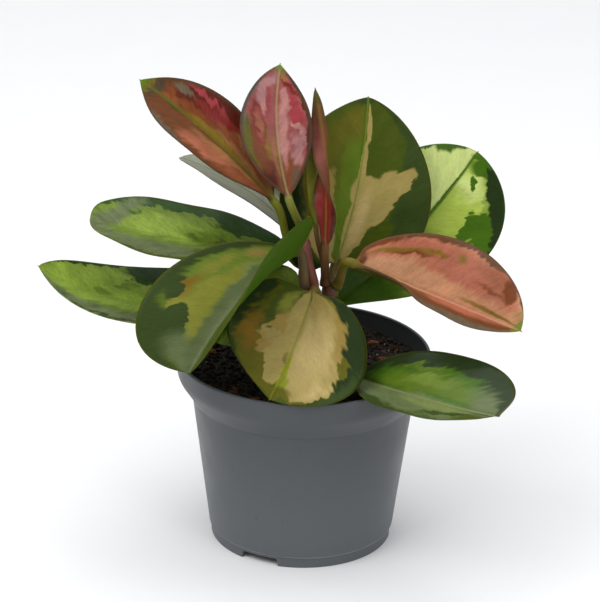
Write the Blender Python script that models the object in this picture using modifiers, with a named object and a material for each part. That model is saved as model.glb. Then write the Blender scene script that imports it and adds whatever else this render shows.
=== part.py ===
"""A potted hoya: a round nursery pot, its potting mix with bark chips, three stems and fourteen leaves.

Run it with blender --background --python part.py, or from Blender's text editor.
Everything is in metres with +Z up. The origin is the centre of the pot's underside, on the surface
that the pot stands on. The tables of stems and leaves are in millimetres and degrees.
"""

import math

import bmesh
import bpy
import numpy as np
from mathutils import Matrix, Vector

MM = 0.001
GAP = 0.3  # clearance between two pieces that touch, in millimetres

# Pot, in millimetres
POT_HEIGHT = 92.0
RIM_RADIUS = 60.0
RIM_BAND = 10.0  # height of the upright band below the lip
CREASE_RADIUS = 52.4  # where the shoulder under the band meets the body
CREASE_HEIGHT = 71.2
FOOT_RADIUS = 43.9  # foot of the tapering body
FOOT_HEIGHT = 5.8
SKIRT_RADIUS = 42.9
WALL = 1.4
FLOOR_THICKNESS = 1.3
PAD_RADIUS = 7.0
TURN_STEPS = 48
NOTCH_HEIGHT = 3.8
NOTCH_WIDTH = 19.0
NOTCH_ANGLES = (-117, 3, 123)
DRAIN_RADIUS = 4.5
DRAIN_CIRCLE = 26.0
DRAIN_COUNT = 4

# Potting mix, in millimetres
SOIL_EDGE_HEIGHT = 83.2
SOIL_RISE = 1.6  # how much the middle stands above the edge

# Stems: points (x, y, z, radius). Each starts ROOT_DEPTH below the soil's edge.
ROOT_DEPTH = 13.0
SOIL_FOOT = SOIL_EDGE_HEIGHT - ROOT_DEPTH
STEMS = {
    "stem_front": [
        (1, -2, SOIL_FOOT, 2.4), (1, -2, 86, 2.4), (1, -2, 92, 2.4), (2.5, -4, 110, 2.4),
        (3.7, -5, 126, 3.0), (1.5, -4, 138, 2.6), (-1.3, -3, 151, 2.7),
    ],
    "stem_right": [
        (9, 2, SOIL_FOOT, 2.6), (9, 2, 86, 2.6), (9, 2, 92, 2.6), (10.5, 1, 108, 2.6),
        (11.2, 0, 123, 3.1), (11.2, 0, 129, 3.0),
    ],
    "stem_back": [
        (-6, 12, SOIL_FOOT, 2.4), (-6, 12, 86, 2.4), (-6, 12, 92, 2.4), (-3, 9, 115, 2.4),
        (0, 7, 134, 2.5), (0.5, 7, 142, 2.0),
    ],
}

# Leaves. A leaf grows from seat: a stem, a height on it and the compass heading on which it leaves
# the stem, or from the stem's top with an offset. rise is the slope of its stalk there. neck, waist and tip
# are points on the midrib: where the blade starts, its middle and its end. half is the width of the
# two halves, left and right as seen from the stalk with the upper face up. face is the way the upper
# face looks, as heading and rise, at the neck and at the tip. fold is how far each half turns up from
# flat, at the neck and at the tip, and cup is the further turn out to the margin. widest is where each
# half is widest, from 0 at the neck to 1 at the tip. base and point shape the two ends: a larger value
# is more drawn out. lobe and shoulder carry the margins back past the neck and on past the tip.
# spike is the size of the drawn-out tip. stalk is the stalk's radius.
USUAL = dict(
    stalk=1.9, cup=4, widest=(0.5, 0.5), base=0.6, point=0.6, lobe=(0, 0), shoulder=(0, 0),
    spike=0.3, twist=(0, 1),
)
LEAVES = {
    "leaf_pink_left": dict(
        seat=("stem_front", 145.5, 170), rise=20, neck=(-14, -9, 171), waist=(-46, -8, 204),
        tip=(-77, 0, 226), half=(24, 19), face=((-50, 46), (-50, 46)), fold=((20, 20), (14, 14)),
        cup=6, widest=(0.56, 0.5), base=0.65, point=0.95,
    ),
    "leaf_pink_centre": dict(
        seat=("stem_front", 0, 0), rise=75, neck=(-8, -10, 173), waist=(-14, -4, 204),
        tip=(-13, 6, 233), half=(18.5, 16.5), face=((-80, 24), (-80, 24)), fold=((14, 14), (12, 12)),
        cup=8, widest=(0.56, 0.52), base=0.75, point=0.85,
    ),
    "leaf_crimson_twisted": dict(
        seat=("stem_right", -0.6, -1.6), rise=85, neck=(9, -10, 149), waist=(8, -4, 185),
        tip=(3, 10, 220), half=(7, 7), face=((-70, 10), (-250, 10)), fold=((20, 20), (30, 30)),
        cup=10, widest=(0.45, 0.45), base=0.4, point=0.7, twist=(0.15, 0.7), stalk=1.7,
    ),
    "leaf_olive_narrow": dict(
        seat=("stem_right", -1.2, 1.9), rise=80, neck=(4, -3, 157), waist=(3, 2, 181),
        tip=(3, 9, 209), half=(5, 5), face=((-160, 0), (-160, 0)), fold=((60, 60), (60, 60)),
        cup=10, base=0.7, point=0.8, stalk=1.2,
    ),
    "leaf_back_upright": dict(
        seat=("stem_right", 121, 60), rise=55, neck=(14, 11, 132), waist=(24, 20, 168),
        tip=(28, 34, 208), half=(40, 36), face=((-65, 18), (-65, 18)), fold=((3, 14), (3, 14)),
        widest=(0.52, 0.44), base=0.42, point=0.72,
    ),
    "leaf_right_bright": dict(
        seat=("stem_right", 100, 85), rise=30, neck=(11, 16, 106), waist=(49, 29, 139),
        tip=(81, 44, 178), half=(33, 33.5), face=((-78, 15), (-78, 15)), fold=((12, 12), (10, 10)),
        widest=(0.66, 0.66), base=0.85, lobe=(0, -10),
    ),
    "leaf_salmon": dict(
        seat=("stem_right", 125, -10), rise=15, neck=(19, -4, 137), waist=(58, -26, 131),
        tip=(100, -34, 120), half=(32, 31), face=((-60, 72), (-75, 55)), fold=((40, 62), (22, 36)),
        cup=-6, widest=(0.64, 0.48), base=0.55, point=0.5, spike=0.8,
    ),
    "leaf_rim_right": dict(
        seat=("stem_front", 91, -60), rise=5, neck=(22, -26, 91), waist=(54, -62, 97),
        tip=(95, -72, 99), half=(29, 25), face=((-75, 75), (-75, 75)), fold=((20, 20), (16, 16)),
        cup=8, widest=(0.62, 0.55), point=0.45, shoulder=(10, 0), spike=0,
    ),
    "leaf_front_round": dict(
        seat=("stem_front", 124, -55), rise=10, neck=(4, -14, 127), waist=(-5, -46, 116),
        tip=(-17, -62, 95), half=(34.5, 32), face=((-90, 80), (-110, 40)), fold=((6, 6), (3, 3)),
        cup=-6, widest=(0.48, 0.42), base=0.45, point=0.5, lobe=(2, 14), shoulder=(3, 0),
    ),
    "leaf_front_folded": dict(
        seat=("stem_front", 126, -125), rise=50, neck=(-9, -14, 144), waist=(-30, -40, 137),
        tip=(-53, -52, 103), half=(36, 31), face=((-146, 45), (-146, 40)), fold=((55, 45), (38, 45)),
        cup=0, widest=(0.5, 0.74), base=0.6, point=0.35, lobe=(30, 8), shoulder=(0, 16), spike=0,
        stalk=2.2,
    ),
    "leaf_left_upper": dict(
        seat=("stem_back", 134, 175), rise=20, neck=(-8, 8, 138), waist=(-54, 12, 143),
        tip=(-101, 12, 154), half=(32, 32), face=((-90, 84), (-90, 84)), fold=((8, 8), (8, 8)),
        widest=(0.55, 0.55), point=0.45,
    ),
    "leaf_left_lower": dict(
        seat=("stem_back", 122, 215), rise=10, neck=(-13, 3, 123.5), waist=(-74, -4, 117.5),
        tip=(-124, -8, 137), half=(35, 28), face=((-90, 85), (-90, 85)), fold=((8, 8), (8, 8)),
        widest=(0.6, 0.5), base=0.5, point=0.7, lobe=(0, 18),
    ),
    "leaf_grey_back": dict(
        seat=("stem_back", 139, 116), rise=40, neck=(-4, 12, 147), waist=(-31, 22, 167),
        tip=(-60, 34, 176), half=(22, 22), face=((0, 70), (0, 70)), fold=((8, 8), (8, 8)),
    ),
    "leaf_hidden_left": dict(
        seat=("stem_front", 116, 190), rise=10, neck=(-8, -8, 117), waist=(-24, -14, 112),
        tip=(-43, -22, 101), half=(20, 9), face=((-90, 80), (-90, 70)), fold=((8, 8), (8, 8)),
    ),
}
STALK_RINGS = 4
BLADE_RINGS = 15
ACROSS = 5  # points from margin to margin on each face of a blade
MIDRIB_THICKNESS = 1.6
MARGIN_THICKNESS = 0.7
BLEND_END = 0.06  # the stalk's round section has become the blade's by here

# Bark chips on the mix: x, y, length and turn in degrees
CHIPS = [
    (-33, -34, 7, 20), (-22, -41, 6, 75), (38, 6, 7, 140), (47, -9, 6, 35),
    (31, -12, 5, 100), (-34, 30, 7, 60), (33, 27, 6, 10), (-44, 14, 6, 120),
]
CHIP_SHAPE = (0.5, 0.33, 0.22)  # half length, half width and half thickness for a length of 1


def clear_scene():
    for obj in list(bpy.data.objects):
        bpy.data.objects.remove(obj, do_unlink=True)


def new_collection(name):
    collection = bpy.data.collections.new(name)
    bpy.context.scene.collection.children.link(collection)
    return collection


def material(name, colour, roughness):
    made = bpy.data.materials.new(name)
    made.use_nodes = True
    shader = made.node_tree.nodes["Principled BSDF"]
    shader.inputs["Base Color"].default_value = (*colour, 1)
    shader.inputs["Roughness"].default_value = roughness
    shader.inputs["Metallic"].default_value = 0
    return made


def add_object(name, mesh, collection, finish):
    obj = bpy.data.objects.new(name, mesh)
    collection.objects.link(obj)
    if finish:
        mesh.materials.append(finish)
    return obj


def add_turned(name, profile, steps, collection, finish):
    """A solid of revolution from (radius, height) points, outer side first, running down."""
    mesh = bpy.data.meshes.new(name)
    points = [(radius * MM, 0, height * MM) for radius, height in profile]
    edges = [(index, index + 1) for index in range(len(points) - 1)]
    if profile[0][0] > 0:
        edges.append((len(points) - 1, 0))
    mesh.from_pydata(points, edges, [])
    obj = add_object(name, mesh, collection, finish)
    screw = obj.modifiers.new("Turn", "SCREW")
    screw.steps = steps
    screw.render_steps = steps
    screw.use_merge_vertices = True
    screw.merge_threshold = 0.00001
    return obj


def hide(obj):
    obj.hide_render = True
    obj.display_type = "WIRE"


def cut(obj, cutter):
    modifier = obj.modifiers.new("Cut " + cutter.name, "BOOLEAN")
    modifier.operation = "DIFFERENCE"
    modifier.solver = "EXACT"
    modifier.object = cutter


def add_cylinder(name, radius, bottom, top, place, collection):
    mesh = bpy.data.meshes.new(name)
    shape = bmesh.new()
    bmesh.ops.create_cone(
        shape, cap_ends=True, segments=16, radius1=radius * MM, radius2=radius * MM,
        depth=(top - bottom) * MM,
    )
    shape.to_mesh(mesh)
    shape.free()
    obj = add_object(name, mesh, collection, None)
    obj.location = (place[0] * MM, place[1] * MM, (top + bottom) / 2 * MM)
    hide(obj)
    return obj


def inner_radius(height):
    """Radius of the pot's inner wall at a height, in millimetres."""
    heights = (FOOT_HEIGHT, CREASE_HEIGHT, POT_HEIGHT - RIM_BAND, POT_HEIGHT)
    radii = (FOOT_RADIUS, CREASE_RADIUS, RIM_RADIUS - 0.4, RIM_RADIUS)
    return float(np.interp(height, heights, radii)) - WALL


def soil_height(radius):
    """Height of the potting mix at a distance from the middle, in millimetres."""
    share = 1 - (radius / inner_radius(SOIL_EDGE_HEIGHT)) ** 2
    return SOIL_EDGE_HEIGHT + SOIL_RISE * share


def add_pot(parts, cutters, finish):
    floor_top = FOOT_HEIGHT
    floor_under = floor_top - FLOOR_THICKNESS
    skirt_inside = SKIRT_RADIUS - WALL
    lip = WALL / 2
    profile = [
        (RIM_RADIUS, POT_HEIGHT - lip),
        (RIM_RADIUS - 0.4, POT_HEIGHT - RIM_BAND),
        (CREASE_RADIUS, CREASE_HEIGHT),
        (FOOT_RADIUS, FOOT_HEIGHT),
        (SKIRT_RADIUS + 0.2, FOOT_HEIGHT - 0.6),
        (SKIRT_RADIUS, 0),
        (skirt_inside, 0),
        (skirt_inside, floor_under),
        (PAD_RADIUS, floor_under),
        (PAD_RADIUS, 0),
        (0, 0),
        (0, floor_top),
        (inner_radius(FOOT_HEIGHT), floor_top),
        (inner_radius(CREASE_HEIGHT), CREASE_HEIGHT),
        (inner_radius(POT_HEIGHT - RIM_BAND), POT_HEIGHT - RIM_BAND),
        (inner_radius(POT_HEIGHT), POT_HEIGHT - lip),
        (RIM_RADIUS - lip, POT_HEIGHT),
    ]
    pot = add_turned("pot", profile, TURN_STEPS, parts, finish)
    for index, angle in enumerate(NOTCH_ANGLES):
        mesh = bpy.data.meshes.new(f"notch_{index + 1}")
        shape = bmesh.new()
        bmesh.ops.create_cube(shape, size=1)
        size = (8 * MM, NOTCH_WIDTH * MM, 2 * NOTCH_HEIGHT * MM)
        bmesh.ops.scale(shape, vec=size, verts=shape.verts)
        shape.to_mesh(mesh)
        shape.free()
        cutter = add_object(mesh.name, mesh, cutters, None)
        turn = Matrix.Rotation(math.radians(angle), 4, "Z")
        cutter.matrix_world = turn @ Matrix.Translation((SKIRT_RADIUS * MM, 0, 0))
        hide(cutter)
        cut(pot, cutter)
    for index in range(DRAIN_COUNT):
        angle = math.radians(45 + 360 / DRAIN_COUNT * index)
        place = (DRAIN_CIRCLE * math.cos(angle), DRAIN_CIRCLE * math.sin(angle))
        name = f"drain_{index + 1}"
        cut(pot, add_cylinder(name, DRAIN_RADIUS, 2, FOOT_HEIGHT + 2, place, cutters))
    return pot


def add_soil(parts, cutters, finish):
    top_radii = (0, 20, 40, inner_radius(SOIL_EDGE_HEIGHT) - GAP)
    top = [(radius, soil_height(radius)) for radius in top_radii]
    walls = (POT_HEIGHT - RIM_BAND, CREASE_HEIGHT, FOOT_HEIGHT + 0.5)
    sides = [(inner_radius(height) - GAP, height) for height in walls]
    bottom = [(sides[-1][0] - 0.3, FOOT_HEIGHT + GAP), (0, FOOT_HEIGHT + GAP)]
    soil = add_turned("potting_mix", top + sides + bottom, TURN_STEPS, parts, finish)
    for name, points in STEMS.items():
        x, y, foot, radius = points[0]
        cut(soil, add_cylinder(name + "_socket", radius + GAP, foot - GAP, 95, (x, y), cutters))
    return soil


def stem_at(name, height):
    """Centre and radius of a stem at a height, in millimetres."""
    points = np.array(STEMS[name], float)
    return np.array([np.interp(height, points[:, 2], points[:, axis]) for axis in range(4)])


def add_stem(name, points, collection, finish):
    """A stem is a curve with a round bevel, thicker at its nodes."""
    curve = bpy.data.curves.new(name, "CURVE")
    curve.dimensions = "3D"
    curve.bevel_depth = MM
    curve.bevel_resolution = 3
    curve.use_fill_caps = True
    spline = curve.splines.new("POLY")
    path = smooth_path(np.array(points, float), 4)
    spline.points.add(len(path) - 1)
    for target, (x, y, z, radius) in zip(spline.points, path):
        target.co = (x * MM, y * MM, z * MM, 1)
        target.radius = radius
    obj = bpy.data.objects.new(name, curve)
    collection.objects.link(obj)
    curve.materials.append(finish)
    return obj


def smooth_path(points, steps):
    """Catmull-Rom curve through the points, with steps stretches between each two."""
    padded = np.vstack([2 * points[0] - points[1], points, 2 * points[-1] - points[-2]])
    share = np.linspace(0, 1, steps, endpoint=False)[:, None]
    stretches = []
    for index in range(len(points) - 1):
        before, start, end, after = padded[index:index + 4]
        stretches.append(0.5 * (
            2 * start + (end - before) * share
            + (2 * before - 5 * start + 4 * end - after) * share**2
            + (3 * start - before - 3 * end + after) * share**3
        ))
    return np.vstack([*stretches, points[-1:]])


def unit(vectors):
    return vectors / np.linalg.norm(vectors, axis=-1, keepdims=True)


def direction(heading, rise):
    """Unit vectors from headings and rises in degrees."""
    heading, rise = np.radians(heading), np.radians(rise)
    flat = np.cos(rise)
    return np.stack([flat * np.cos(heading), flat * np.sin(heading), np.sin(rise)], -1)


def ease(share):
    return share * share * (3 - 2 * share)


def outline(share, widest, base, point, spike):
    """Half width of a blade along its length, 1 at the widest: x^base (1 - x)^point, with a thin tip."""
    peak = base / (base + point)
    along = np.clip(share / (1 - 0.06 * spike), 0, 1) ** (math.log(peak) / math.log(widest))
    width = along**base * (1 - along) ** point / (peak**base * (1 - peak) ** point)
    tail = 0.16 * spike * np.clip((1 - share) / 0.16, 0, 1) * ease(np.clip((share - 0.7) / 0.2, 0, 1))
    return np.hypot(width, tail)


def stalk_foot(leaf):
    """Where the stalk starts: clear of the stem's side, or of its top."""
    stem, second, third = leaf["seat"]
    if abs(second) > 20:
        centre = stem_at(stem, second)
        away = centre[3] + GAP + leaf["stalk"] * abs(math.sin(math.radians(leaf["rise"])))
        return centre[:3] + away * direction(third, 0), direction(third, leaf["rise"])
    top = np.array(STEMS[stem][-1][:3], float)
    lift = GAP + leaf["stalk"] * math.cos(math.radians(leaf["rise"]))
    foot = top + np.array([second, third, lift])
    heading = np.degrees(np.arctan2(*(leaf["neck"] - foot)[1::-1]))
    return foot, direction(heading, leaf["rise"])


def leaf_rings(leaf):
    """Closed sections of a leaf from its foot to its tip, as an array of rings, points and axes."""
    neck, waist, tip = (np.array(leaf[key], float) for key in ("neck", "waist", "tip"))
    control = 2 * waist - (neck + tip) / 2
    share = (1 - np.cos(np.linspace(0, math.pi, BLADE_RINGS))) / 2
    t = share[:, None]
    middle = (1 - t) ** 2 * neck + 2 * t * (1 - t) * control + t**2 * tip
    along = unit((1 - t) * (control - neck) + t * (tip - control))
    turn = np.interp(share, leaf["twist"], (0, 1))
    (heading, rise), (heading_end, rise_end) = leaf["face"]
    face = direction(heading + (heading_end - heading) * turn, rise + (rise_end - rise) * turn)
    across = unit(np.cross(along, face))
    normal = np.cross(across, along)

    # Blade sections: each half is an arc that starts at its fold and turns on by its cup.
    side = np.linspace(-1, 1, ACROSS)
    upper = np.zeros((BLADE_RINGS, ACROSS, 3))
    lower = np.zeros((BLADE_RINGS, ACROSS, 3))
    bend = math.radians(leaf["cup"] or 0.01)
    for column, s in enumerate(side):
        half = int(s > 0)
        fold = np.radians(np.interp(share, (0, 1), (leaf["fold"][0][half], leaf["fold"][1][half])))
        width = leaf["half"][half] * outline(
            share, leaf["widest"][half], leaf["base"], leaf["point"], leaf["spike"]
        )
        width = np.maximum(width, 0.4)
        out = (np.sin(fold + bend * abs(s)) - np.sin(fold)) / bend * np.sign(s) * width
        up = (np.cos(fold) - np.cos(fold + bend * abs(s))) / bend * width
        back = 2.1 * leaf["lobe"][half] * (1 - share) ** 3 * np.sqrt(share)
        ahead = 2.1 * leaf["shoulder"][half] * share**3 * np.sqrt(1 - share)
        points = middle + across * out[:, None] + normal * up[:, None]
        points = points + along * ((ahead - back) * s * s)[:, None]
        lean = (fold + bend * abs(s)) * np.sign(s)
        square = normal * np.cos(lean)[:, None] - across * np.sin(lean)[:, None]
        thick = MIDRIB_THICKNESS + (MARGIN_THICKNESS - MIDRIB_THICKNESS) * abs(s)
        thick = thick * (1 - 0.5 * share**4)
        upper[:, column] = points
        lower[:, column] = points - square * thick[:, None]
    blade = np.concatenate([upper, lower[:, ::-1]], axis=1)

    # The stalk is a round section carried along a curve from the stem to the neck.
    angle = np.linspace(math.pi, 0, ACROSS)
    angle = np.concatenate([angle, -angle[::-1]])
    angle = np.concatenate([angle[:ACROSS] * 0.9 + 0.05 * math.pi, angle[ACROSS:] * 0.9 - 0.05 * math.pi])
    circle = leaf["stalk"] * np.stack([np.cos(angle), np.sin(angle)], -1)
    drop = leaf["stalk"] * 0.5
    round_part = (
        middle[:, None] + across[:, None] * circle[None, :, :1]
        + normal[:, None] * (circle[None, :, 1:] - drop)
    )
    mix = ease(np.clip(share / BLEND_END, 0, 1))[:, None, None]
    blade = round_part * (1 - mix) + blade * mix

    foot, start = stalk_foot(leaf)
    end = middle[0] - normal[0] * drop
    reach = np.linalg.norm(end - foot)
    q = np.linspace(0, 1, STALK_RINGS, endpoint=False)[:, None]
    path = (
        (2 * q**3 - 3 * q**2 + 1) * foot + (q**3 - 2 * q**2 + q) * start * reach
        + (3 * q**2 - 2 * q**3) * end + (q**3 - q**2) * along[0] * reach
    )
    heading_along = unit(
        (6 * q**2 - 6 * q) * (foot - end) + (3 * q**2 - 4 * q + 1) * start * reach
        + (3 * q**2 - 2 * q) * along[0] * reach
    )
    stalk = []
    sideways = across[0]
    for centre, way in zip(path[::-1], heading_along[::-1]):
        sideways = unit(sideways - way * (sideways @ way))
        upward = np.cross(sideways, way)
        stalk.append(centre + circle[:, :1] * sideways + circle[:, 1:] * upward)
    return np.concatenate([np.array(stalk[::-1]), blade])


def add_leaf(name, leaf, collection, finish):
    """A leaf is one loft: a round stalk that flattens into a folded, pointed blade."""
    rings = leaf_rings(leaf)
    count, size = rings.shape[:2]
    index = np.arange(count * size).reshape(count, size)
    turned = np.roll(index, -1, axis=1)
    sides = np.stack([index[:-1], index[1:], turned[1:], turned[:-1]], -1).reshape(-1, 4)
    faces = [tuple(map(int, face)) for face in sides]
    faces.append(tuple(map(int, index[0])))
    faces.append(tuple(map(int, index[-1][::-1])))
    mesh = bpy.data.meshes.new(name)
    mesh.from_pydata([tuple(point) for point in rings.reshape(-1, 3) * MM], [], faces)
    shape = bmesh.new()
    shape.from_mesh(mesh)
    bmesh.ops.recalc_face_normals(shape, faces=shape.faces)
    bmesh.ops.triangulate(shape, faces=shape.faces)
    shape.to_mesh(mesh)
    shape.free()
    mesh.shade_smooth()
    return add_object(name, mesh, collection, finish)


def add_chip(index, chip, collection, finish):
    """A bark chip is a lumpy, flattened ball that rests on the mix."""
    x, y, length, turn = chip
    name = f"bark_chip_{index + 1}"
    mesh = bpy.data.meshes.new(name)
    shape = bmesh.new()
    bmesh.ops.create_icosphere(shape, subdivisions=1, radius=1)
    draw = np.random.default_rng(index)
    for vertex in shape.verts:
        vertex.co *= 1 + 0.18 * float(draw.uniform(-1, 1))
        vertex.co = Vector(value * part * length * MM for value, part in zip(vertex.co, CHIP_SHAPE))
    low = min(vertex.co.z for vertex in shape.verts)
    shape.to_mesh(mesh)
    shape.free()
    obj = add_object(name, mesh, collection, finish)
    height = soil_height(math.hypot(x, y) - length / 2) + GAP
    obj.location = (x * MM, y * MM, height * MM - low)
    obj.rotation_euler = (0, 0, math.radians(turn))
    return obj


def main():
    clear_scene()
    parts = new_collection("potted_hoya")
    cutters = new_collection("cutters")
    plastic = material("pot plastic", (0.13, 0.15, 0.17), 0.45)
    mix = material("potting mix", (0.012, 0.008, 0.006), 0.95)
    bark = material("bark", (0.16, 0.06, 0.02), 0.9)
    stem_skin = material("stem skin", (0.23, 0.09, 0.06), 0.5)
    green = material("green leaf", (0.10, 0.20, 0.03), 0.4)
    pink = material("young pink leaf", (0.42, 0.09, 0.07), 0.4)
    add_pot(parts, cutters, plastic)
    add_soil(parts, cutters, mix)
    for name, points in STEMS.items():
        add_stem(name, points, parts, stem_skin)
    for name, leaf in LEAVES.items():
        young = any(word in name for word in ("pink", "crimson", "salmon"))
        add_leaf(name, {**USUAL, **leaf}, parts, pink if young else green)
    for index, chip in enumerate(CHIPS):
        add_chip(index, chip, parts, bark)


main()
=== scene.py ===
# %% [markdown]
# # A potted hoya
#
# A young hoya is a climbing house plant with thick, waxy leaves. This one has three short shoots in a
# round nursery pot, and its leaves are variegated: cream, pink and several greens meet along ragged
# borders. The lesson builds the pot, the mix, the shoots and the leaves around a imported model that
# already fixes their sizes and places.

import math

import bmesh
import bpy
import numpy as np
from mathutils import Matrix, Vector


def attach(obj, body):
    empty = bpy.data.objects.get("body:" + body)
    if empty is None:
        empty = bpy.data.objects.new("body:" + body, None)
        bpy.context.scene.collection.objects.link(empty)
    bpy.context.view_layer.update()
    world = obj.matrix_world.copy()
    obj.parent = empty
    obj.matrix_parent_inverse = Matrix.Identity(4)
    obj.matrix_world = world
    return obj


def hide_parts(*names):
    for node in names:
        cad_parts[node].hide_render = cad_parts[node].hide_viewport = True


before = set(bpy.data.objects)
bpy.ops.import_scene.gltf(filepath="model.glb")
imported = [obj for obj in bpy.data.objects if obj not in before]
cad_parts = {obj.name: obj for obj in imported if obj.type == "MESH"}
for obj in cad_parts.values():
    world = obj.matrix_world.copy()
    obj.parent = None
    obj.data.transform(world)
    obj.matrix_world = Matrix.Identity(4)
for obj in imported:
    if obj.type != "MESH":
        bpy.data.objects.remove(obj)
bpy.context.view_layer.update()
print("packed model:", len(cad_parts), "nodes")

# %% [markdown]
# ## Surfaces from grids
#
# A leaf, a stem and a pot are all one sheet wrapped into a tube, so one helper turns a grid of points
# into a closed mesh. They could be extruded by hand, but a grid that comes from a formula is changed by
# changing a number. Rows run along the piece and columns run round it. The first and the last row are
# closed with a flat face, so nothing is open. Lengths in this lesson are in millimetres until this
# helper scales them to metres.

# %% A closed mesh from a grid of points
MM = 0.001


def grid_mesh(name, points, values=()):
    """Row i and row i + 1 are joined by quads round the piece. values are (name, array) pairs, one
    vector per point."""
    rows, columns = points.shape[:2]
    index = np.arange(rows * columns).reshape(rows, columns)
    turned = np.roll(index, -1, axis=1)
    quads = np.stack([index[:-1], turned[:-1], turned[1:], index[1:]], -1).reshape(-1, 4)
    faces = quads.tolist() + [index[0][::-1].tolist(), index[-1].tolist()]
    mesh = bpy.data.meshes.new(name)
    mesh.from_pydata((points.reshape(-1, 3) * MM).tolist(), [], faces)
    for label, array in values:
        flat = np.ascontiguousarray(array, dtype=np.float32).ravel()
        mesh.attributes.new(label, "FLOAT_VECTOR", "POINT").data.foreach_set("vector", flat)
    return mesh


def face_outward(mesh):
    """Turn every face the way that makes the closed mesh's volume positive."""
    shape = bmesh.new()
    shape.from_mesh(mesh)
    if shape.calc_volume(signed=True) < 0:
        bmesh.ops.reverse_faces(shape, faces=shape.faces)
    shape.to_mesh(mesh)
    shape.free()
    mesh.shade_smooth()


def place_object(name, data):
    """Put a mesh, lamp or camera in the scene, at the origin."""
    made = bpy.data.objects.new(name, data)
    bpy.context.scene.collection.objects.link(made)
    return made


def add_piece(name, mesh, finish, replaced=()):
    """Put a mesh in the scene as a piece of the plant, on the frame's only body."""
    face_outward(mesh)
    piece = place_object(name, mesh)
    mesh.materials.append(finish)
    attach(piece, "root")
    if replaced:
        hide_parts(*replaced)


print("helpers ready, lengths in mm")

# %% [markdown]
# ## Directions and smooth paths
#
# Shoots and stalks follow smooth curves. A curve object could be drawn for each, but its handles take
# more numbers than its points. A Catmull-Rom curve needs only the points that it passes through: each
# stretch is a cubic that leaves a point in the direction from the point before to the point after.

# %% Vectors, easing and paths
def unit(vectors):
    """Each vector divided by its own length."""
    return vectors / np.linalg.norm(vectors, axis=-1, keepdims=True)


def direction(heading, rise):
    """Unit vectors from a compass heading and a rise in degrees."""
    heading, rise = np.radians(heading), np.radians(rise)
    flat = np.cos(rise)
    return np.stack([flat * np.cos(heading), flat * np.sin(heading), np.sin(rise)], -1)


def ease(share):
    """Smooth step: 3 x squared less 2 x cubed."""
    share = np.clip(share, 0, 1)
    return share * share * (3 - 2 * share)


def smooth_path(points, steps):
    """Catmull-Rom curve through the points, with steps stretches between each two."""
    padded = np.vstack([2 * points[0] - points[1], points, 2 * points[-1] - points[-2]])
    share = np.linspace(0, 1, steps, endpoint=False)[:, None]
    stretches = []
    for index in range(len(points) - 1):
        before, start, end, after = padded[index:index + 4]
        stretches.append(0.5 * (
            2 * start + (end - before) * share
            + (2 * before - 5 * start + 4 * end - after) * share**2
            + (3 * start - before - 3 * end + after) * share**3
        ))
    return np.vstack([*stretches, points[-1:]])


def carried_frames(way, sideways):
    """Two directions square to a path at each of its points, carried along so that they don't spin."""
    sides = []
    for step in way:
        sideways = unit(sideways - step * (sideways @ step))
        sides.append(sideways)
    sides = np.array(sides)
    return sides, np.cross(sides, way)


print("a quarter of the way eases to", ease(np.array(0.25)))

# %% [markdown]
# ## Random fields
#
# Natural surfaces need lumps of a chosen size. A Displace modifier could push them out, but then
# nothing else would know where the surface is. Here a field of random numbers on a square lattice is
# read between its points with the smooth step, so it has no corners, and whatever lies on the surface
# can ask the same field for its height. Adding a fine field to a coarse one gives crumbs on clods.

# %% Smooth lumps
LATTICE = 64
SHIFT = (31.3, 17.9)


def lumps(x, y, size, seed):
    """Random field from -1 to 1: lattice values mixed by the smooth step of the place inside a cell."""
    table = np.random.default_rng(seed).uniform(-1, 1, (LATTICE, LATTICE))
    u, v = np.asarray(x) / size + SHIFT[0], np.asarray(y) / size + SHIFT[1]
    i, j = np.floor(u).astype(int), np.floor(v).astype(int)
    a, b = ease(u - i), ease(v - j)
    corner = [table[(i + di) % LATTICE, (j + dj) % LATTICE] for di in (0, 1) for dj in (0, 1)]
    return (corner[0] * (1 - b) + corner[1] * b) * (1 - a) + (corner[2] * (1 - b) + corner[3] * b) * a


print("lumps at one point:", round(float(lumps(3.0, 4.0, 5, 1)), 3))

# %% [markdown]
# ## Building materials from nodes
#
# Every finish here is worked out by nodes from the piece's own coordinates, so that no picture has to
# be wrapped round anything. A node's output is held as a wire, and wires can be added, multiplied and
# so on like numbers: each sign adds one node. Effects that several finishes share are node groups with
# named inputs and outputs, built once and given each finish's own values.

# %% Wires
class Wire:
    """A node's output that can be reckoned with: each sign adds one Math node behind it."""

    def __init__(self, socket):
        self.socket, self.tree = socket, socket.id_data

    def __add__(self, other):
        return maths("ADD", self, other)

    def __sub__(self, other):
        return maths("SUBTRACT", self, other)

    def __rsub__(self, other):
        return maths("SUBTRACT", other, self)

    def __mul__(self, other):
        return maths("MULTIPLY", self, other)

    def __truediv__(self, other):
        return maths("DIVIDE", self, other)

    def __abs__(self):
        return maths("ABSOLUTE", self)


def plug(socket, value):
    """Link a wire to an input, or set the input to a plain value. A plain colour gets an alpha of 1."""
    if isinstance(value, Wire):
        value.tree.links.new(value.socket, socket)
    else:
        socket.default_value = (*value, 1) if socket.type == "RGBA" else value


def add(tree, kind, sockets=None, output=0, **settings):
    """Add a node, fill its inputs by name or number, and return one of its outputs as a wire."""
    made = tree.nodes.new("ShaderNode" + kind)
    for key, value in settings.items():
        setattr(made, key, value)
    for key, value in (sockets or {}).items():
        plug(made.inputs[key], value)
    return Wire(made.outputs[output])


def behind(kind, sockets, output=0, **settings):
    """Add a node to the tree that its first wire comes from."""
    tree = next(value.tree for value in sockets.values() if isinstance(value, Wire))
    return add(tree, kind, sockets, output, **settings)


def maths(operation, *values):
    """One arithmetic step."""
    return behind("Math", dict(enumerate(values)), operation=operation)


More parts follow.
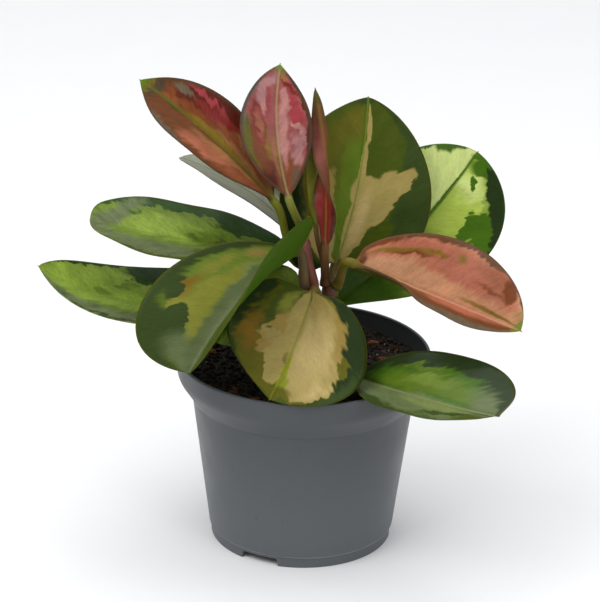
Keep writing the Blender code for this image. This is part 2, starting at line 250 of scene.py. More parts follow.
def vector(operation, *values, output=0):
    """One step of vector arithmetic. Output 0 is a vector and output 1 a number."""
    return behind("VectorMath", dict(enumerate(values)), output, operation=operation)


print("wires ready")

# %% Node helpers
def split(wire):
    """The three numbers of a vector."""
    first = behind("SeparateXYZ", {0: wire})
    return [Wire(socket) for socket in first.socket.node.outputs]


def step(value, low, high, start=0.0, end=1.0, kind="SMOOTHSTEP"):
    """Go from start to end while a value goes from low to high."""
    return behind("MapRange", dict(enumerate((value, low, high, start, end))), interpolation_type=kind)


def blend(share, first, second, mode="MIX"):
    """Mix two colours by a share."""
    return behind("Mix", {0: share, 6: first, 7: second}, 2, data_type="RGBA", blend_type=mode)


def noise(place, scale, detail=3.0, roughness=0.55, stretch=None):
    """Noise, on average 0.5. stretch multiplies the coordinates first."""
    if stretch:
        place = behind("Mapping", {"Vector": place, "Scale": stretch})
    return behind("TexNoise", {"Vector": place, "Scale": scale, "Detail": detail, "Roughness": roughness})


def by_name(sockets):
    """Wires from the sockets that have a name, by that name."""
    return {socket.name: Wire(socket) for socket in sockets if socket.name}


print("node helpers ready")

# %% [markdown]
# A node group starts from two lists of names, one for what it is given and one for what it puts out. A
# plain value is set on the socket itself, and only what changes over the surface is a link.

# %% Group and material helpers
def new_group(name, given, results):
    """Start a shader group. given and results say which names there are of each kind of socket."""
    tree = bpy.data.node_groups.new(name, "ShaderNodeTree")
    for side, kinds in (("INPUT", given), ("OUTPUT", results)):
        for kind, labels in kinds.items():
            for label in labels.split():
                tree.interface.new_socket(label, in_out=side, socket_type="NodeSocket" + kind)
    wires = by_name(tree.nodes.new("NodeGroupInput").outputs)
    return tree, wires, tree.nodes.new("NodeGroupOutput").inputs


def give(results, **wires):
    """Link wires to a group's outputs by name."""
    for label, wire in wires.items():
        plug(results[label], wire)


def use_group(tree, group, values):
    """Place a group in a tree, fill each input with the value of its name, and return its outputs."""
    made = tree.nodes.new("ShaderNodeGroup")
    made.node_tree = group
    for socket in made.inputs:
        plug(socket, values[socket.name])
    return by_name(made.outputs)


def new_material(name, **constants):
    """A material, its tree and its Principled shader, whose constant sockets are set straight away."""
    made = bpy.data.materials.new(name)
    made.use_nodes = True
    shader = made.node_tree.nodes["Principled BSDF"]
    for label, value in constants.items():
        shader.inputs[label.replace("_", " ")].default_value = value
    return made, made.node_tree, shader


def dress(shader, colour, roughness, height, distance, strength):
    """Give a shader its colour, its roughness and a normal bent by height times distance in metres."""
    plug(shader.inputs["Base Color"], colour)
    plug(shader.inputs["Roughness"], roughness)
    sockets = {"Height": height, "Distance": distance, "Strength": strength}
    plug(shader.inputs["Normal"], behind("Bump", sockets))


print("group and material helpers ready")

# %% [markdown]
# ## The pot
#
# A nursery pot is blown or moulded in one thin wall: a foot ring with notches that let water out, a
# tapering body, a shoulder, and an upright band under the lip. It is a solid of revolution, so one
# profile turned round the axis makes it. Cylinders could be stacked up instead, but a profile also
# gives the inside of the wall. Each corner of the profile is rounded by a short curve, as a mould
# rounds it, because a sharp edge catches no light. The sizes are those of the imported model.

# %% The pot's sizes and profile
GAP = 0.3
POT_HEIGHT, RIM_RADIUS, RIM_BAND = 92.0, 60.0, 10.0
CREASE_RADIUS, CREASE_HEIGHT = 52.4, 71.2
FOOT_RADIUS, FOOT_HEIGHT, SKIRT_RADIUS = 43.9, 5.8, 42.9
WALL, FLOOR_THICKNESS, PAD_RADIUS, AXIS_RADIUS = 1.4, 1.3, 7.0, 0.4
NOTCH_HEIGHT, NOTCH_WIDTH, NOTCH_ANGLES = 3.8, 19.0, (-117, 3, 123)
DRAIN_RADIUS, DRAIN_CIRCLE, DRAIN_COUNT, DRAIN_SIDES = 4.5, 26.0, 4, 40
BAND_FOOT = POT_HEIGHT - RIM_BAND
SKIRT_INSIDE = SKIRT_RADIUS - WALL


def inner_radius(height):
    """Radius of the pot's inner wall at a height."""
    heights = (FOOT_HEIGHT, CREASE_HEIGHT, BAND_FOOT, POT_HEIGHT)
    radii = (FOOT_RADIUS, CREASE_RADIUS, RIM_RADIUS - 0.4, RIM_RADIUS)
    return np.interp(height, heights, radii) - WALL


def rounded(corners, steps=6):
    """Each corner (radius, height, cut) becomes the quadratic curve from cut before it to cut after it."""
    corners = np.array(corners, float)
    place, cut = corners[1:-1, :2], corners[1:-1, 2:]
    before = place + unit(corners[:-2, :2] - place) * cut
    after = place + unit(corners[2:, :2] - place) * cut
    t = np.linspace(0, 1, steps)[:, None, None]
    curve = (1 - t) ** 2 * before + 2 * t * (1 - t) * place + t**2 * after
    curve = curve.transpose(1, 0, 2).reshape(-1, 2)
    return np.vstack([corners[:1, :2], curve, corners[-1:, :2]])


floor_under = FOOT_HEIGHT - FLOOR_THICKNESS
POT_PROFILE = rounded([
    (AXIS_RADIUS, 0, 0), (PAD_RADIUS, 0, 0.3), (PAD_RADIUS, floor_under, 0.3),
    (SKIRT_INSIDE, floor_under, 0.4), (SKIRT_INSIDE, 0, 0.3), (SKIRT_RADIUS, 0, 0.4),
    (SKIRT_RADIUS + 0.2, FOOT_HEIGHT - 0.9, 0.2), (FOOT_RADIUS - 0.1, FOOT_HEIGHT - 0.3, 0.3),
    (FOOT_RADIUS + 0.1, FOOT_HEIGHT + 0.7, 0.4), (CREASE_RADIUS, CREASE_HEIGHT, 1.2),
    (RIM_RADIUS - 0.5, BAND_FOOT, 2.6), (RIM_RADIUS - 0.1, POT_HEIGHT - 2.4, 0.2),
    (RIM_RADIUS, POT_HEIGHT - 1.6, 0.3), (RIM_RADIUS, POT_HEIGHT, 0.6),
    (RIM_RADIUS - WALL - 0.2, POT_HEIGHT, 0.6), (inner_radius(POT_HEIGHT), POT_HEIGHT - 2, 0.5),
    (inner_radius(BAND_FOOT), BAND_FOOT, 2.4), (inner_radius(CREASE_HEIGHT), CREASE_HEIGHT, 1.2),
    (inner_radius(FOOT_HEIGHT), FOOT_HEIGHT, 1.0), (AXIS_RADIUS, FOOT_HEIGHT, 0),
])
print("pot profile:", len(POT_PROFILE), "points")

# %% [markdown]
# The notches are made in the same grid. Where a column stands inside a notch, the points of the foot
# ring that would be lower than the notch's top are lifted to it. Close columns at each end of a notch
# follow its rounded corner. The drain holes in the floor are cut with a boolean, because they cross
# the grid's rows.

# %% Turn the pot
TURN_STEPS = 240
NOTCH_CORNER, CORNER_POWER = 2.2, 2.5
HALF_NOTCH = math.degrees(math.asin(NOTCH_WIDTH / 2 / SKIRT_RADIUS))


def wrapped(angles):
    """Angles in degrees brought between -180 and 180."""
    return (angles + 180) % 360 - 180


def pot_angles():
    """Even steps round the pot, and close columns at both ends of each notch."""
    even = np.linspace(-180, 180, TURN_STEPS, endpoint=False)
    close = HALF_NOTCH + np.linspace(-2.4, 0.3, 12)
    ends = [turn + end * step for turn in NOTCH_ANGLES for end in (-1, 1) for step in close]
    return np.unique(np.concatenate([even, wrapped(np.array(ends))]))


def pot_grid():
    """The profile turned about the axis, with the foot ring lifted inside each notch."""
    angles = pot_angles()
    radius, height = POT_PROFILE[:, :1], np.repeat(POT_PROFILE[:, 1:], len(angles), axis=1)
    for notch in NOTCH_ANGLES:
        into_corner = np.clip((np.abs(wrapped(angles - notch)) - HALF_NOTCH) / NOTCH_CORNER + 1, 0, 1)
        lift = NOTCH_HEIGHT * np.sqrt(np.clip(1 - into_corner**CORNER_POWER, 0, 1))
        height = np.where(radius > SKIRT_INSIDE - 1, np.maximum(height, lift[None]), height)
    turn = np.radians(angles)[None]
    return np.stack([radius * np.cos(turn), radius * np.sin(turn), height], -1)


pot_mesh = grid_mesh("pot_wall", pot_grid())
print("pot grid:", len(pot_mesh.vertices), "points")

# %% Cut the drain holes
def cut_holes(mesh, places, hole_radius, low, high):
    """Take upright round holes out of a mesh with one boolean, and return the result."""
    shape = bmesh.new()
    for x, y in places:
        bmesh.ops.create_cone(
            shape, cap_ends=True, segments=DRAIN_SIDES, radius1=hole_radius * MM,
            radius2=hole_radius * MM, depth=(high - low) * MM,
            matrix=Matrix.Translation((x * MM, y * MM, (low + high) / 2 * MM)),
        )
    tool = place_object("tool", bpy.data.meshes.new("tool"))
    shape.to_mesh(tool.data)
    shape.free()
    body = place_object("body", mesh)
    modifier = body.modifiers.new("Holes", "BOOLEAN")
    modifier.operation, modifier.solver, modifier.object = "DIFFERENCE", "EXACT", tool
    bpy.context.view_layer.update()
    result = bpy.data.meshes.new_from_object(body.evaluated_get(bpy.context.evaluated_depsgraph_get()))
    for made in (tool, body):
        bpy.data.objects.remove(made)
    return result


face_outward(pot_mesh)
hole_turns = np.radians(45 + 360 / DRAIN_COUNT * np.arange(DRAIN_COUNT))
hole_places = DRAIN_CIRCLE * np.stack([np.cos(hole_turns), np.sin(hole_turns)], -1)
pot_mesh = cut_holes(pot_mesh, hole_places, DRAIN_RADIUS, 2, FOOT_HEIGHT + 1.5)
print("pot with its holes:", len(pot_mesh.polygons), "faces")

# %% [markdown]
# The plastic is recycled, blue-grey and satin. Close up it carries dark specks, a few pale scuffs and a
# soft change of gloss. Painted shade darkens the inside and deepens towards the top, a dark painted shade
# line follows the crease and a pale painted highlight line follows the foot's edge.
# Noise read in the pot's own coordinates gives all of it without a seam. Each mark is one more colour
# laid over the last by its share, in a list that is easy to add to.

# %% Pot plastic
def pot_plastic():
    """Two greys mixed by cloudy noise, and over them grain, specks, scuffs, painted shade on the inside,
    painted shade that deepens with height, a painted shade line at the crease and a painted highlight
    line at the foot."""
    made, tree, shader = new_material("pot_plastic", IOR=1.46, Specular_IOR_Level=0.35)
    place = add(tree, "TexCoord", output="Object")
    cloud, grain = noise(place, 55, 4), noise(place, 900, 2)
    specks = step(noise(place, 420, 1), 0.735, 0.78)
    scuffs = step(noise(place, 260, 2, stretch=(1, 1, 0.35)), 0.7, 0.78)
    outward = vector("NORMALIZE", vector("MULTIPLY", place, (1, 1, 0)))
    facing = vector("DOT_PRODUCT", outward, add(tree, "NewGeometry", output="Normal"), output=1)
    height = split(place)[2]
    # Two of these layers are painted shade: the dark share where the wall faces inwards, and the darker
    # share towards the top.
    layers = [
        (grain * 0.3, (0.085, 0.094, 0.105)), (specks * 0.5, (0.045, 0.042, 0.04)),
        (scuffs * 0.35, (0.24, 0.25, 0.25)), (step(facing, -0.5, -0.1, 0.75, 0.0), (0.012, 0.012, 0.011)),
        (step(height, 0.0, 0.08, 0.0, 0.76), (0.056, 0.061, 0.064)),
    ]
    # The crease line is a painted shade line and the foot line a painted highlight line, both broken up by
    # cloudy noise.
    line_strength = step(cloud, 0.3, 0.6, 0.3, 1.0)
    lines = ((CREASE_HEIGHT, 0.55, (0.04,) * 3), (FOOT_HEIGHT - 0.2, 0.6, (0.3, 0.31, 0.31)))
    for line, share, paint in lines:
        layers.append((step(abs(height - line * MM), 0.0001, 0.0004, share, 0.0) * line_strength, paint))
    colour = blend(cloud, (0.099, 0.110, 0.118), (0.114, 0.126, 0.135))
    for share, paint in layers:
        colour = blend(share, colour, paint)
    gloss = step(cloud, 0.3, 0.7, 0.36, 0.46) + scuffs * 0.15
    dress(shader, colour, gloss, grain * 0.4 - specks * 0.5, 0.00012, 0.6)
    return made


add_piece("pot_body", pot_mesh, pot_plastic(), ["pot"])
print("pot added")

# %% [markdown]
# ## The potting mix
#
# The mix is dark peat with bark, pale grains of pumice and a few fibres. Its body is a turned solid
# that fills the pot, with a rough upper face: random fields of 8, 3 and 1 mm are added to a shallow
# dome. A flat face with bump alone would give itself away at the rim, where it is seen from the side,
# so the larger crumbs, bark and grains lie on it as geometry.

# %% The body of the mix
SOIL_EDGE_HEIGHT, SOIL_RISE, SOIL_STEPS, SOIL_ROWS = 83.2, 1.6, 300, 84
SOIL_RADIUS = float(inner_radius(SOIL_EDGE_HEIGHT)) - GAP
SOIL_LUMPS = ((1.1, 8, 11), (0.7, 3.2, 12), (0.35, 1.2, 13))


def soil_top(x, y):
    """Dome of SOIL_RISE over the edge's height, plus fields of lumps (height, size, seed) that fade at
    the wall."""
    away = np.hypot(x, y)
    dome = SOIL_EDGE_HEIGHT + SOIL_RISE * (1 - (away / SOIL_RADIUS) ** 2)
    rough = sum(high * lumps(x, y, size, seed) for high, size, seed in SOIL_LUMPS)
    return dome + rough * ease((SOIL_RADIUS - away) / 2.5 + 0.35)


def soil_grid():
    """Rows run from the middle out over the top, down the wall and in along the floor."""
    turn = np.linspace(0, 2 * np.pi, SOIL_STEPS, endpoint=False)[None]
    out = np.concatenate([[0.3], np.linspace(0.8, SOIL_RADIUS, SOIL_ROWS)])[:, None]
    heights = np.array([BAND_FOOT, 78, CREASE_HEIGHT, 40, FOOT_HEIGHT + 0.6])
    radii = np.append(inner_radius(heights) - GAP, [30, 0.3])[:, None]
    heights = np.append(heights, [FOOT_HEIGHT + GAP] * 2)[:, None]
    top_x, top_y = out * np.cos(turn), out * np.sin(turn)
    top = np.stack([top_x, top_y, soil_top(top_x, top_y)], -1)
    sides = np.stack([radii * np.cos(turn), radii * np.sin(turn), heights + 0 * turn], -1)
    return np.concatenate([top, sides])


soil_mesh = grid_mesh("potting_mix_body", soil_grid())
print("mix:", len(soil_mesh.vertices), "points")

# %% [markdown]
# Peat, bark, pumice and fibre are all crumbly, and differ in colour, coarseness and depth. One function
# with two colours and a scale makes them all, from noise multiplied by a finer noise.

# %% Finishes of the mix
def crumbly(name, dark, light, scale, relief, gloss):
    """Earthy finish: two colours mixed by noise at two scales, with deep bump."""
    made, tree, shader = new_material(name, IOR=1.4)
    place = add(tree, "TexCoord", output="Object")
    coarse, fine = noise(place, scale, 4, 0.7), noise(place, scale * 4, 3, 0.7)
    colour = blend(step(coarse * fine, 0.18, 0.36), dark, light)
    dress(shader, colour, step(fine, 0.3, 0.7, gloss, 0.95), coarse + fine, relief, 1.0)
    return made


PEAT = crumbly("peat", (0.004, 0.0022, 0.0012), (0.03, 0.014, 0.006), 400, 0.0008, 0.75)
BARK = crumbly("bark", (0.05, 0.014, 0.004), (0.24, 0.08, 0.02), 500, 0.0006, 0.7)
PUMICE = crumbly("pumice", (0.12, 0.09, 0.05), (0.42, 0.36, 0.24), 600, 0.0005, 0.7)
FIBRE = crumbly("fibre", (0.05, 0.025, 0.012), (0.14, 0.08, 0.04), 700, 0.0002, 0.6)
add_piece("potting_mix_body", soil_mesh, PEAT, ["potting_mix"])
print("mix added")

# %% [markdown]
# Thousands of crumbs share one mesh. A particle system could scatter them, but a joined mesh is a plain
# piece that any program can read. A ball of twenty faces is squashed, turned and moved once for each
# crumb, as one array of matrices times one array of points. Crumbs keep clear of the shoots.

# %% A ball and random turns
def ball():
    """Points and triangles of an icosahedron of radius 1."""
    shape = bmesh.new()
    bmesh.ops.create_icosphere(shape, subdivisions=1, radius=1)
    points = np.array([vertex.co[:] for vertex in shape.verts])
    faces = np.array([[vertex.index for vertex in face.verts] for face in shape.faces])
    shape.free()
    return points, faces


def random_turns(draw, count):
    """Rotation matrices from random unit quaternions."""
    w, x, y, z = unit(draw.normal(size=(count, 4))).T
    return np.stack([
        1 - 2 * (y * y + z * z), 2 * (x * y - z * w), 2 * (x * z + y * w),
        2 * (x * y + z * w), 1 - 2 * (x * x + z * z), 2 * (y * z - x * w),
        2 * (x * z - y * w), 2 * (y * z + x * w), 1 - 2 * (x * x + y * y),
    ], -1).reshape(count, 3, 3)


print("faces of a crumb:", len(ball()[1]))

# %% Scatter crumbs, bark and grains
STEM_FEET = {"stem_front": (1, -2), "stem_right": (9, 2), "stem_back": (-6, 12)}
STEM_CLEARANCE, SMALL_ONES, KNOBS, SPREAD_SHARE = 2.2, 2.2, 0.28, 0.985


def scatter(name, count, sizes, shape, sink, finish, seed):
    """Crumbs of half sizes size times shape, evenly spread over the mix and sunk into it by a share."""
    draw = np.random.default_rng(seed)
    size = sizes[0] + (sizes[1] - sizes[0]) * draw.random(count) ** SMALL_ONES
    away = np.sqrt(draw.random(count)) * (SOIL_RADIUS * SPREAD_SHARE - size)
    turn = draw.random(count) * 2 * np.pi
    x, y = away * np.cos(turn), away * np.sin(turn)
    points, faces = ball()
    knobs = points[None] * (1 + KNOBS * draw.uniform(-1, 1, (count, len(points), 1)))
    half = size[:, None] * (np.array(shape) * draw.uniform(0.75, 1.25, (count, 3)))
    turned = np.einsum("nij,nkj->nki", random_turns(draw, count), knobs * half[:, None])
    flat = 0.35 + 0.65 * min(shape)
    turned[:, :, 2] *= flat
    turned += np.stack([x, y, soil_top(x, y) + size * flat * (0.5 - sink)], -1)[:, None]
    clear = np.ones(count, bool)
    for foot_x, foot_y in STEM_FEET.values():
        clear &= np.hypot(x - foot_x, y - foot_y) > STEM_CLEARANCE + size
    turned = turned[clear]
    steps = np.arange(len(turned))[:, None, None] * len(points)
    mesh = bpy.data.meshes.new(name)
    mesh.from_pydata((turned.reshape(-1, 3) * MM).tolist(), [], (faces + steps).reshape(-1, 3).tolist())
    add_piece(name, mesh, finish)
    print(name, len(turned), "crumbs")


scatter("peat_crumbs", 3600, (0.35, 1.9), (1, 0.8, 0.65), 0.2, PEAT, 21)
scatter("bark_crumbs", 330, (0.5, 2.3), (1, 0.55, 0.3), 0.1, BARK, 22)
scatter("pumice_grains", 90, (0.4, 1.3), (1, 0.85, 0.7), 0.1, PUMICE, 23)

# %% [markdown]
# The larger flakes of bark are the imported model's chips. Each becomes a flat, ridged flake on the same
# spot: a squared-off ball, pushed in and out by random fields, with grooves along its length. A box
# with a bevel would be simpler, but all its edges would be straight, and torn bark has none.

# %% Bark flakes
CHIPS = [
    (-33, -34, 7, 20), (-22, -41, 6, 75), (38, 6, 7, 140), (47, -9, 6, 35),
    (31, -12, 5, 100), (-34, 30, 7, 60), (33, 27, 6, 10), (-44, 14, 6, 120),
]
CHIP_SHAPE = np.array((0.5, 0.33, 0.22)) * 0.95
CHIP_LIFT, SQUARE_POWER = 0.16, 0.7


def squared(values):
    """The sign of each value times a power of its size, which squares a circle off."""
    return np.sign(values) * np.abs(values) ** SQUARE_POWER


def bark_flake(length, turn, seed):
    """Squared-off ball of a length, with knobs and grooves along x, turned about the upright axis."""
    latitude = np.linspace(-np.pi / 2, np.pi / 2, 20)[:, None]
    longitude = np.linspace(0, 2 * np.pi, 40, endpoint=False)[None]
    x = squared(np.cos(latitude)) * squared(np.cos(longitude))
    y = squared(np.cos(latitude)) * squared(np.sin(longitude))
    z = squared(np.sin(latitude)) + 0 * longitude
    knob = 1 + 0.22 * lumps(x * 3, y * 3 + z * 2, 1.1, seed) + 0.06 * lumps(x, y * 9 + z * 5, 1, seed + 50)
    points = np.stack([x, y, z], -1) * knob[..., None] * CHIP_SHAPE * length
    c, s = math.cos(math.radians(turn)), math.sin(math.radians(turn))
    return points @ np.array([[c, s, 0], [-s, c, 0], [0, 0, 1]])


for index, (x, y, length, turn) in enumerate(CHIPS):
    points = bark_flake(length, turn, 60 + index)
    points = points + np.array([x, y, float(soil_top(x, y)) + CHIP_LIFT * length])
    node_name = f"bark_chip_{index + 1}"
    add_piece(f"bark_flake_{index + 1}", grid_mesh(node_name, points), BARK, [node_name])
print(len(CHIPS), "flakes")

# %% [markdown]
# ## Tubes for shoots and fibres
#
# A tube carries a ring of points along a path. A curve object with a round bevel makes one too, but its
# ring can't be lumpy. The ring's two axes are carried from one point of the path to the next, so that
# the tube never twists, and its radius may change along the way and round it.

# %% A tube along a path
def tube(path, radii, sides):
    """Ring points are the path's point plus radius times (cosine side + sine up)."""
    way = unit(np.gradient(path, axis=0))
    side, up = carried_frames(way, np.array((0.3, 1, 0.1)))
    turn = np.linspace(0, 2 * np.pi, sides, endpoint=False)[:, None]
    ring = np.cos(turn) * side[:, None] + np.sin(turn) * up[:, None]
    return path[:, None] + ring * np.asarray(radii).reshape(len(path), -1, 1)


print("tube function ready")

# %% Fibres
FIBRE_POINTS, FIBRE_STEP, FIBRE_SIDES = 14, 0.8, 6


def fibre_path(draw):
    """A wandering path: the heading changes a little at each step, and the middle is lifted a little."""
    away, turn, heading = SOIL_RADIUS * 0.9 * math.sqrt(draw.random()), *(draw.random(2) * 2 * np.pi)
    bend = heading + np.cumsum(draw.normal(0, 0.28, FIBRE_POINTS))
    x = away * math.cos(turn) + np.cumsum(np.cos(bend)) * FIBRE_STEP
    y = away * math.sin(turn) + np.cumsum(np.sin(bend)) * FIBRE_STEP
    edge = SOIL_RADIUS * 0.97
    inside = edge / np.maximum(np.hypot(x, y), edge)
    x, y = x * inside, y * inside
    return np.stack([x, y, soil_top(x, y) + 0.35 + 0.5 * np.sin(np.linspace(0, 3, FIBRE_POINTS))], -1)


def add_fibres(count, seed):
    """Fine roots that lie on the mix: tapering tubes along wandering paths, joined in one mesh."""
    draw = np.random.default_rng(seed)
    shape = bmesh.new()
    for _ in range(count):
        path = fibre_path(draw)
        radii = np.linspace(0.28, 0.1, FIBRE_POINTS) * draw.uniform(0.6, 1.2)
        shape.from_mesh(grid_mesh("fibre", tube(path, radii, FIBRE_SIDES)))
    mesh = bpy.data.meshes.new("root_fibres")
    shape.to_mesh(mesh)
    shape.free()
    add_piece("root_fibres", mesh, FIBRE)


add_fibres(46, 31)
print("fibres added")

# %% [markdown]
# ## The shoots
#
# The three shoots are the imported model's stems, with more points along them. Hoya shoots thicken at
# each node, where leaves join. The skin is green-brown low down and turns pink-brown towards the young
# end.

# %% Shoot paths
SOIL_FOOT = 70.2
SHOOT_STEPS, SHOOT_SIDES, DOME = 16, 24, 1.8
NODE_SWELLING, NODE_HALF, SKIN_LUMPS = 0.13, 1.5, 0.035
STEMS = {
    "stem_front": [
        (1, -2, SOIL_FOOT, 2.4), (1, -2, 86, 2.4), (1, -2, 92, 2.4), (2.5, -4, 110, 2.4),
        (3.7, -5, 126, 3.0), (1.5, -4, 138, 2.6), (-1.3, -3, 151, 2.7),
    ],
    "stem_right": [
        (9, 2, SOIL_FOOT, 2.6), (9, 2, 86, 2.6), (9, 2, 92, 2.6), (10.5, 1, 108, 2.6),
        (11.2, 0, 123, 3.1), (11.2, 0, 129, 3.0),
    ],
    "stem_back": [
        (-6, 12, SOIL_FOOT, 2.4), (-6, 12, 86, 2.4), (-6, 12, 92, 2.4), (-3, 9, 115, 2.4),
        (0, 7, 134, 2.5), (0.5, 7, 142, 2.0),
    ],
}
NODES_AT = {"stem_front": (91, 124, 148), "stem_right": (103, 123), "stem_back": (122, 136)}


def shoot_grid(name):
    """Radius grows by a bell curve at each node and closes in a dome at the tip."""
    path = smooth_path(np.array(STEMS[name], float), SHOOT_STEPS)
    left = np.linalg.norm(path[-1, :3] - path[:, :3], axis=1)
    dome = np.sqrt(np.clip(1 - (1 - left / DOME) ** 2, 0.02, 1))
    radii = path[:, 3] * np.where(left < DOME, dome, 1)
    for node_height in NODES_AT[name]:
        radii = radii * (1 + NODE_SWELLING * np.exp(-((path[:, 2] - node_height) / NODE_HALF) ** 2))
    bumps = lumps(np.arange(SHOOT_SIDES)[None] * 0.9, path[:, 2:3], 1.6, 41)
    return tube(path[:, :3], radii[:, None] * (1 + SKIN_LUMPS * bumps), SHOOT_SIDES)


print("shoots:", ", ".join(STEMS))

# %% [markdown]
# One group gives the skin of shoots: two colours that change with height, fine lengthwise streaks, pale
# breathing pores and a soft sheen. The three shoots differ only in their colours and in the heights
# where these change, so those are the group's inputs.

# %% Skin of shoots
def skin_group():
    """Two colours mixed by height and by streaks, the streaks darkened, and pale pores over them."""
    tree, given, results = new_group(
        "shoot_skin", {"Color": "low high", "Float": "start end"},
        {"Color": "colour", "Float": "roughness height"},
    )
    place = add(tree, "TexCoord", output="Object")
    streak = noise(place, 420, 3, stretch=(1, 1, 0.12))
    pores = step(noise(place, 900, 1), 0.66, 0.74)
    share = step(split(place)[2], given["start"], given["end"], kind="LINEAR") + streak * 0.5
    colour = blend(step(share, 0.1, 1.2), given["low"], given["high"])
    colour = blend(streak * 0.35, colour, (0.03, 0.02, 0.008))
    colour = blend(pores * 0.4, colour, (0.42, 0.36, 0.24))
    give(results, colour=colour, roughness=step(streak, 0.3, 0.7, 0.42, 0.6), height=streak + pores)
    return tree


SKIN = skin_group()


def skin_material(name, low, high, start, end):
    """Skin that turns from one colour to another between two heights in millimetres."""
    made, tree, shader = new_material(
        name, IOR=1.45, Subsurface_Weight=0.08, Subsurface_Radius=(0.002, 0.0012, 0.0006),
    )
    out = use_group(tree, SKIN, {"low": low, "high": high, "start": start * MM, "end": end * MM})
    dress(shader, *out.values(), 0.00025, 0.7)
    return made


SKINS = {
    "stem_front": ("skin_front", (0.075, 0.045, 0.015), (0.22, 0.055, 0.035), 95, 142),
    "stem_right": ("skin_right", (0.08, 0.05, 0.018), (0.17, 0.06, 0.03), 92, 122),
    "stem_back": ("skin_back", (0.08, 0.055, 0.02), (0.09, 0.1, 0.025), 95, 130),
}
for name, skin in SKINS.items():
    shoot_name = name.replace("stem", "shoot")
    add_piece(shoot_name, grid_mesh(name, shoot_grid(name)), skin_material(*skin), [name])
print("shoots added")

# %% [markdown]
# ## The leaves: where they are
#
# Each leaf is given by a few facts: the stem and height that it grows from, three points on its midrib,
# the widths of its two halves, the way that its upper face looks, and how far the halves fold up. face
# and fold are given at the neck and at the tip. One leaf could be modelled and bent into copies, but no
# two here share an outline, so they share the formulas instead. The numbers are in millimetres and
# degrees. Left and right are as seen from the stalk with the upper face up.

# %% The young leaves
USUAL = dict(
    stalk=1.9, cup=4, widest=(0.5, 0.5), base=0.6, point=0.6, lobe=(0, 0), shoulder=(0, 0),
    spike=0.3, twist=(0, 1), fold=((8, 8), (8, 8)),
)
LEAVES = {
    "leaf_pink_left": dict(
        seat=("stem_front", 145.5, 170), rise=20, neck=(-14, -9, 171), waist=(-46, -8, 204),
        tip=(-77, 0, 226), half=(24, 19), face=((-50, 46), (-50, 46)), fold=((20, 20), (14, 14)),
        cup=6, widest=(0.56, 0.5), base=0.65, point=0.95,
    ),
    "leaf_pink_centre": dict(
        seat=("stem_front", 0, 0), rise=75, neck=(-8, -10, 173), waist=(-14, -4, 204),
        tip=(-13, 6, 233), half=(18.5, 16.5), face=((-80, 24), (-80, 24)), fold=((14, 14), (12, 12)),
        cup=8, widest=(0.55, 0.51), base=0.75, point=0.95, spike=0.5,
    ),
    "leaf_crimson_twisted": dict(
        seat=("stem_right", -1.8, -1.6), rise=85, neck=(9, -10, 149), waist=(8, -4, 185),
        tip=(3, 10, 220), half=(6, 6), face=((-70, 10), (-250, 10)), fold=((20, 20), (30, 30)),
        cup=10, widest=(0.45, 0.45), base=0.4, point=0.7, twist=(0.15, 0.7), stalk=2.1,
    ),
    "leaf_olive_narrow": dict(
        seat=("stem_right", -1.2, 1.9), rise=80, neck=(4, -3, 157), waist=(3, 2, 181),
        tip=(3, 9, 209), half=(5, 5), face=((-160, 0), (-160, 0)), fold=((60, 60), (60, 60)),
        cup=10, base=0.7, point=0.8, stalk=1.2,
    ),
    "leaf_salmon": dict(
        seat=("stem_right", 130, -40), rise=62, neck=(22.3, -15.8, 144.8), waist=(58, -17.2, 130),
        tip=(99, -42.6, 122.8), half=(28.5, 21.9), face=((-73, 75), (-72, 54)), fold=((45, 44), (43, 27)),
        cup=-6, widest=(0.57, 0.59), base=0.77, point=0.58, lobe=(4, -9.5), shoulder=(2, 1), spike=0.5,
        stalk=2.3,
    ),
}
print(len(LEAVES), "young leaves")

# %% The green leaves at the right and in front
LEAVES |= {
    "leaf_back_upright": dict(
        seat=("stem_right", 121, 60), rise=55, neck=(14, 11, 132), waist=(24, 20, 168),
        tip=(28, 34, 208), half=(40, 36), face=((-65, 18), (-65, 18)), fold=((3, 14), (3, 14)),
        widest=(0.52, 0.44), base=0.42, point=0.72, lobe=(27, 10),
    ),
    "leaf_right_bright": dict(
        seat=("stem_right", 100, 85), rise=30, neck=(11, 16, 106), waist=(49, 29, 139),
        tip=(81, 44, 178), half=(33, 33.5), face=((-78, 15), (-78, 15)), fold=((12, 12), (10, 10)),
        widest=(0.66, 0.66), base=0.85, lobe=(0, -10),
    ),
    "leaf_rim_right": dict(
        seat=("stem_front", 91, -60), rise=5, neck=(23.2, -27, 92), waist=(56, -58, 95.2),
        tip=(85.9, -73.9, 94.7), half=(28.6, 26.8), face=((-81, 66), (-75, 76)), fold=((26, 16), (8, 24)),
        cup=1, widest=(0.56, 0.61), base=0.67, point=0.5, lobe=(0, -1), shoulder=(21, -11), spike=0.2,
    ),
    "leaf_front_round": dict(
        seat=("stem_front", 124, -55), rise=10, neck=(3.5, -15.7, 130.2), waist=(-5.4, -39.7, 111),
        tip=(-15.6, -60.5, 94.4), half=(35.3, 33.2), face=((-72, 98), (-100, 38)),
        fold=((-12, 22), (0, 18)), cup=-4, widest=(0.54, 0.48), base=0.36, point=0.55, lobe=(5, 12),
        shoulder=(0, -8), spike=0.6,
    ),
    "leaf_front_folded": dict(
        seat=("stem_front", 126, -125), rise=50, neck=(-4, -7, 146.5), waist=(-28.6, -33.4, 134.4),
        tip=(-52, -56.5, 105.4), half=(38.8, 35.6), face=((-130, 42), (-154, 41)),
        fold=((68, 44), (26, 65)), cup=-3, widest=(0.54, 0.71), base=0.54, point=0.5, lobe=(23.4, 3),
        shoulder=(-8, 18), spike=0, stalk=2.2,
    ),
}
print(len(LEAVES), "leaves so far")

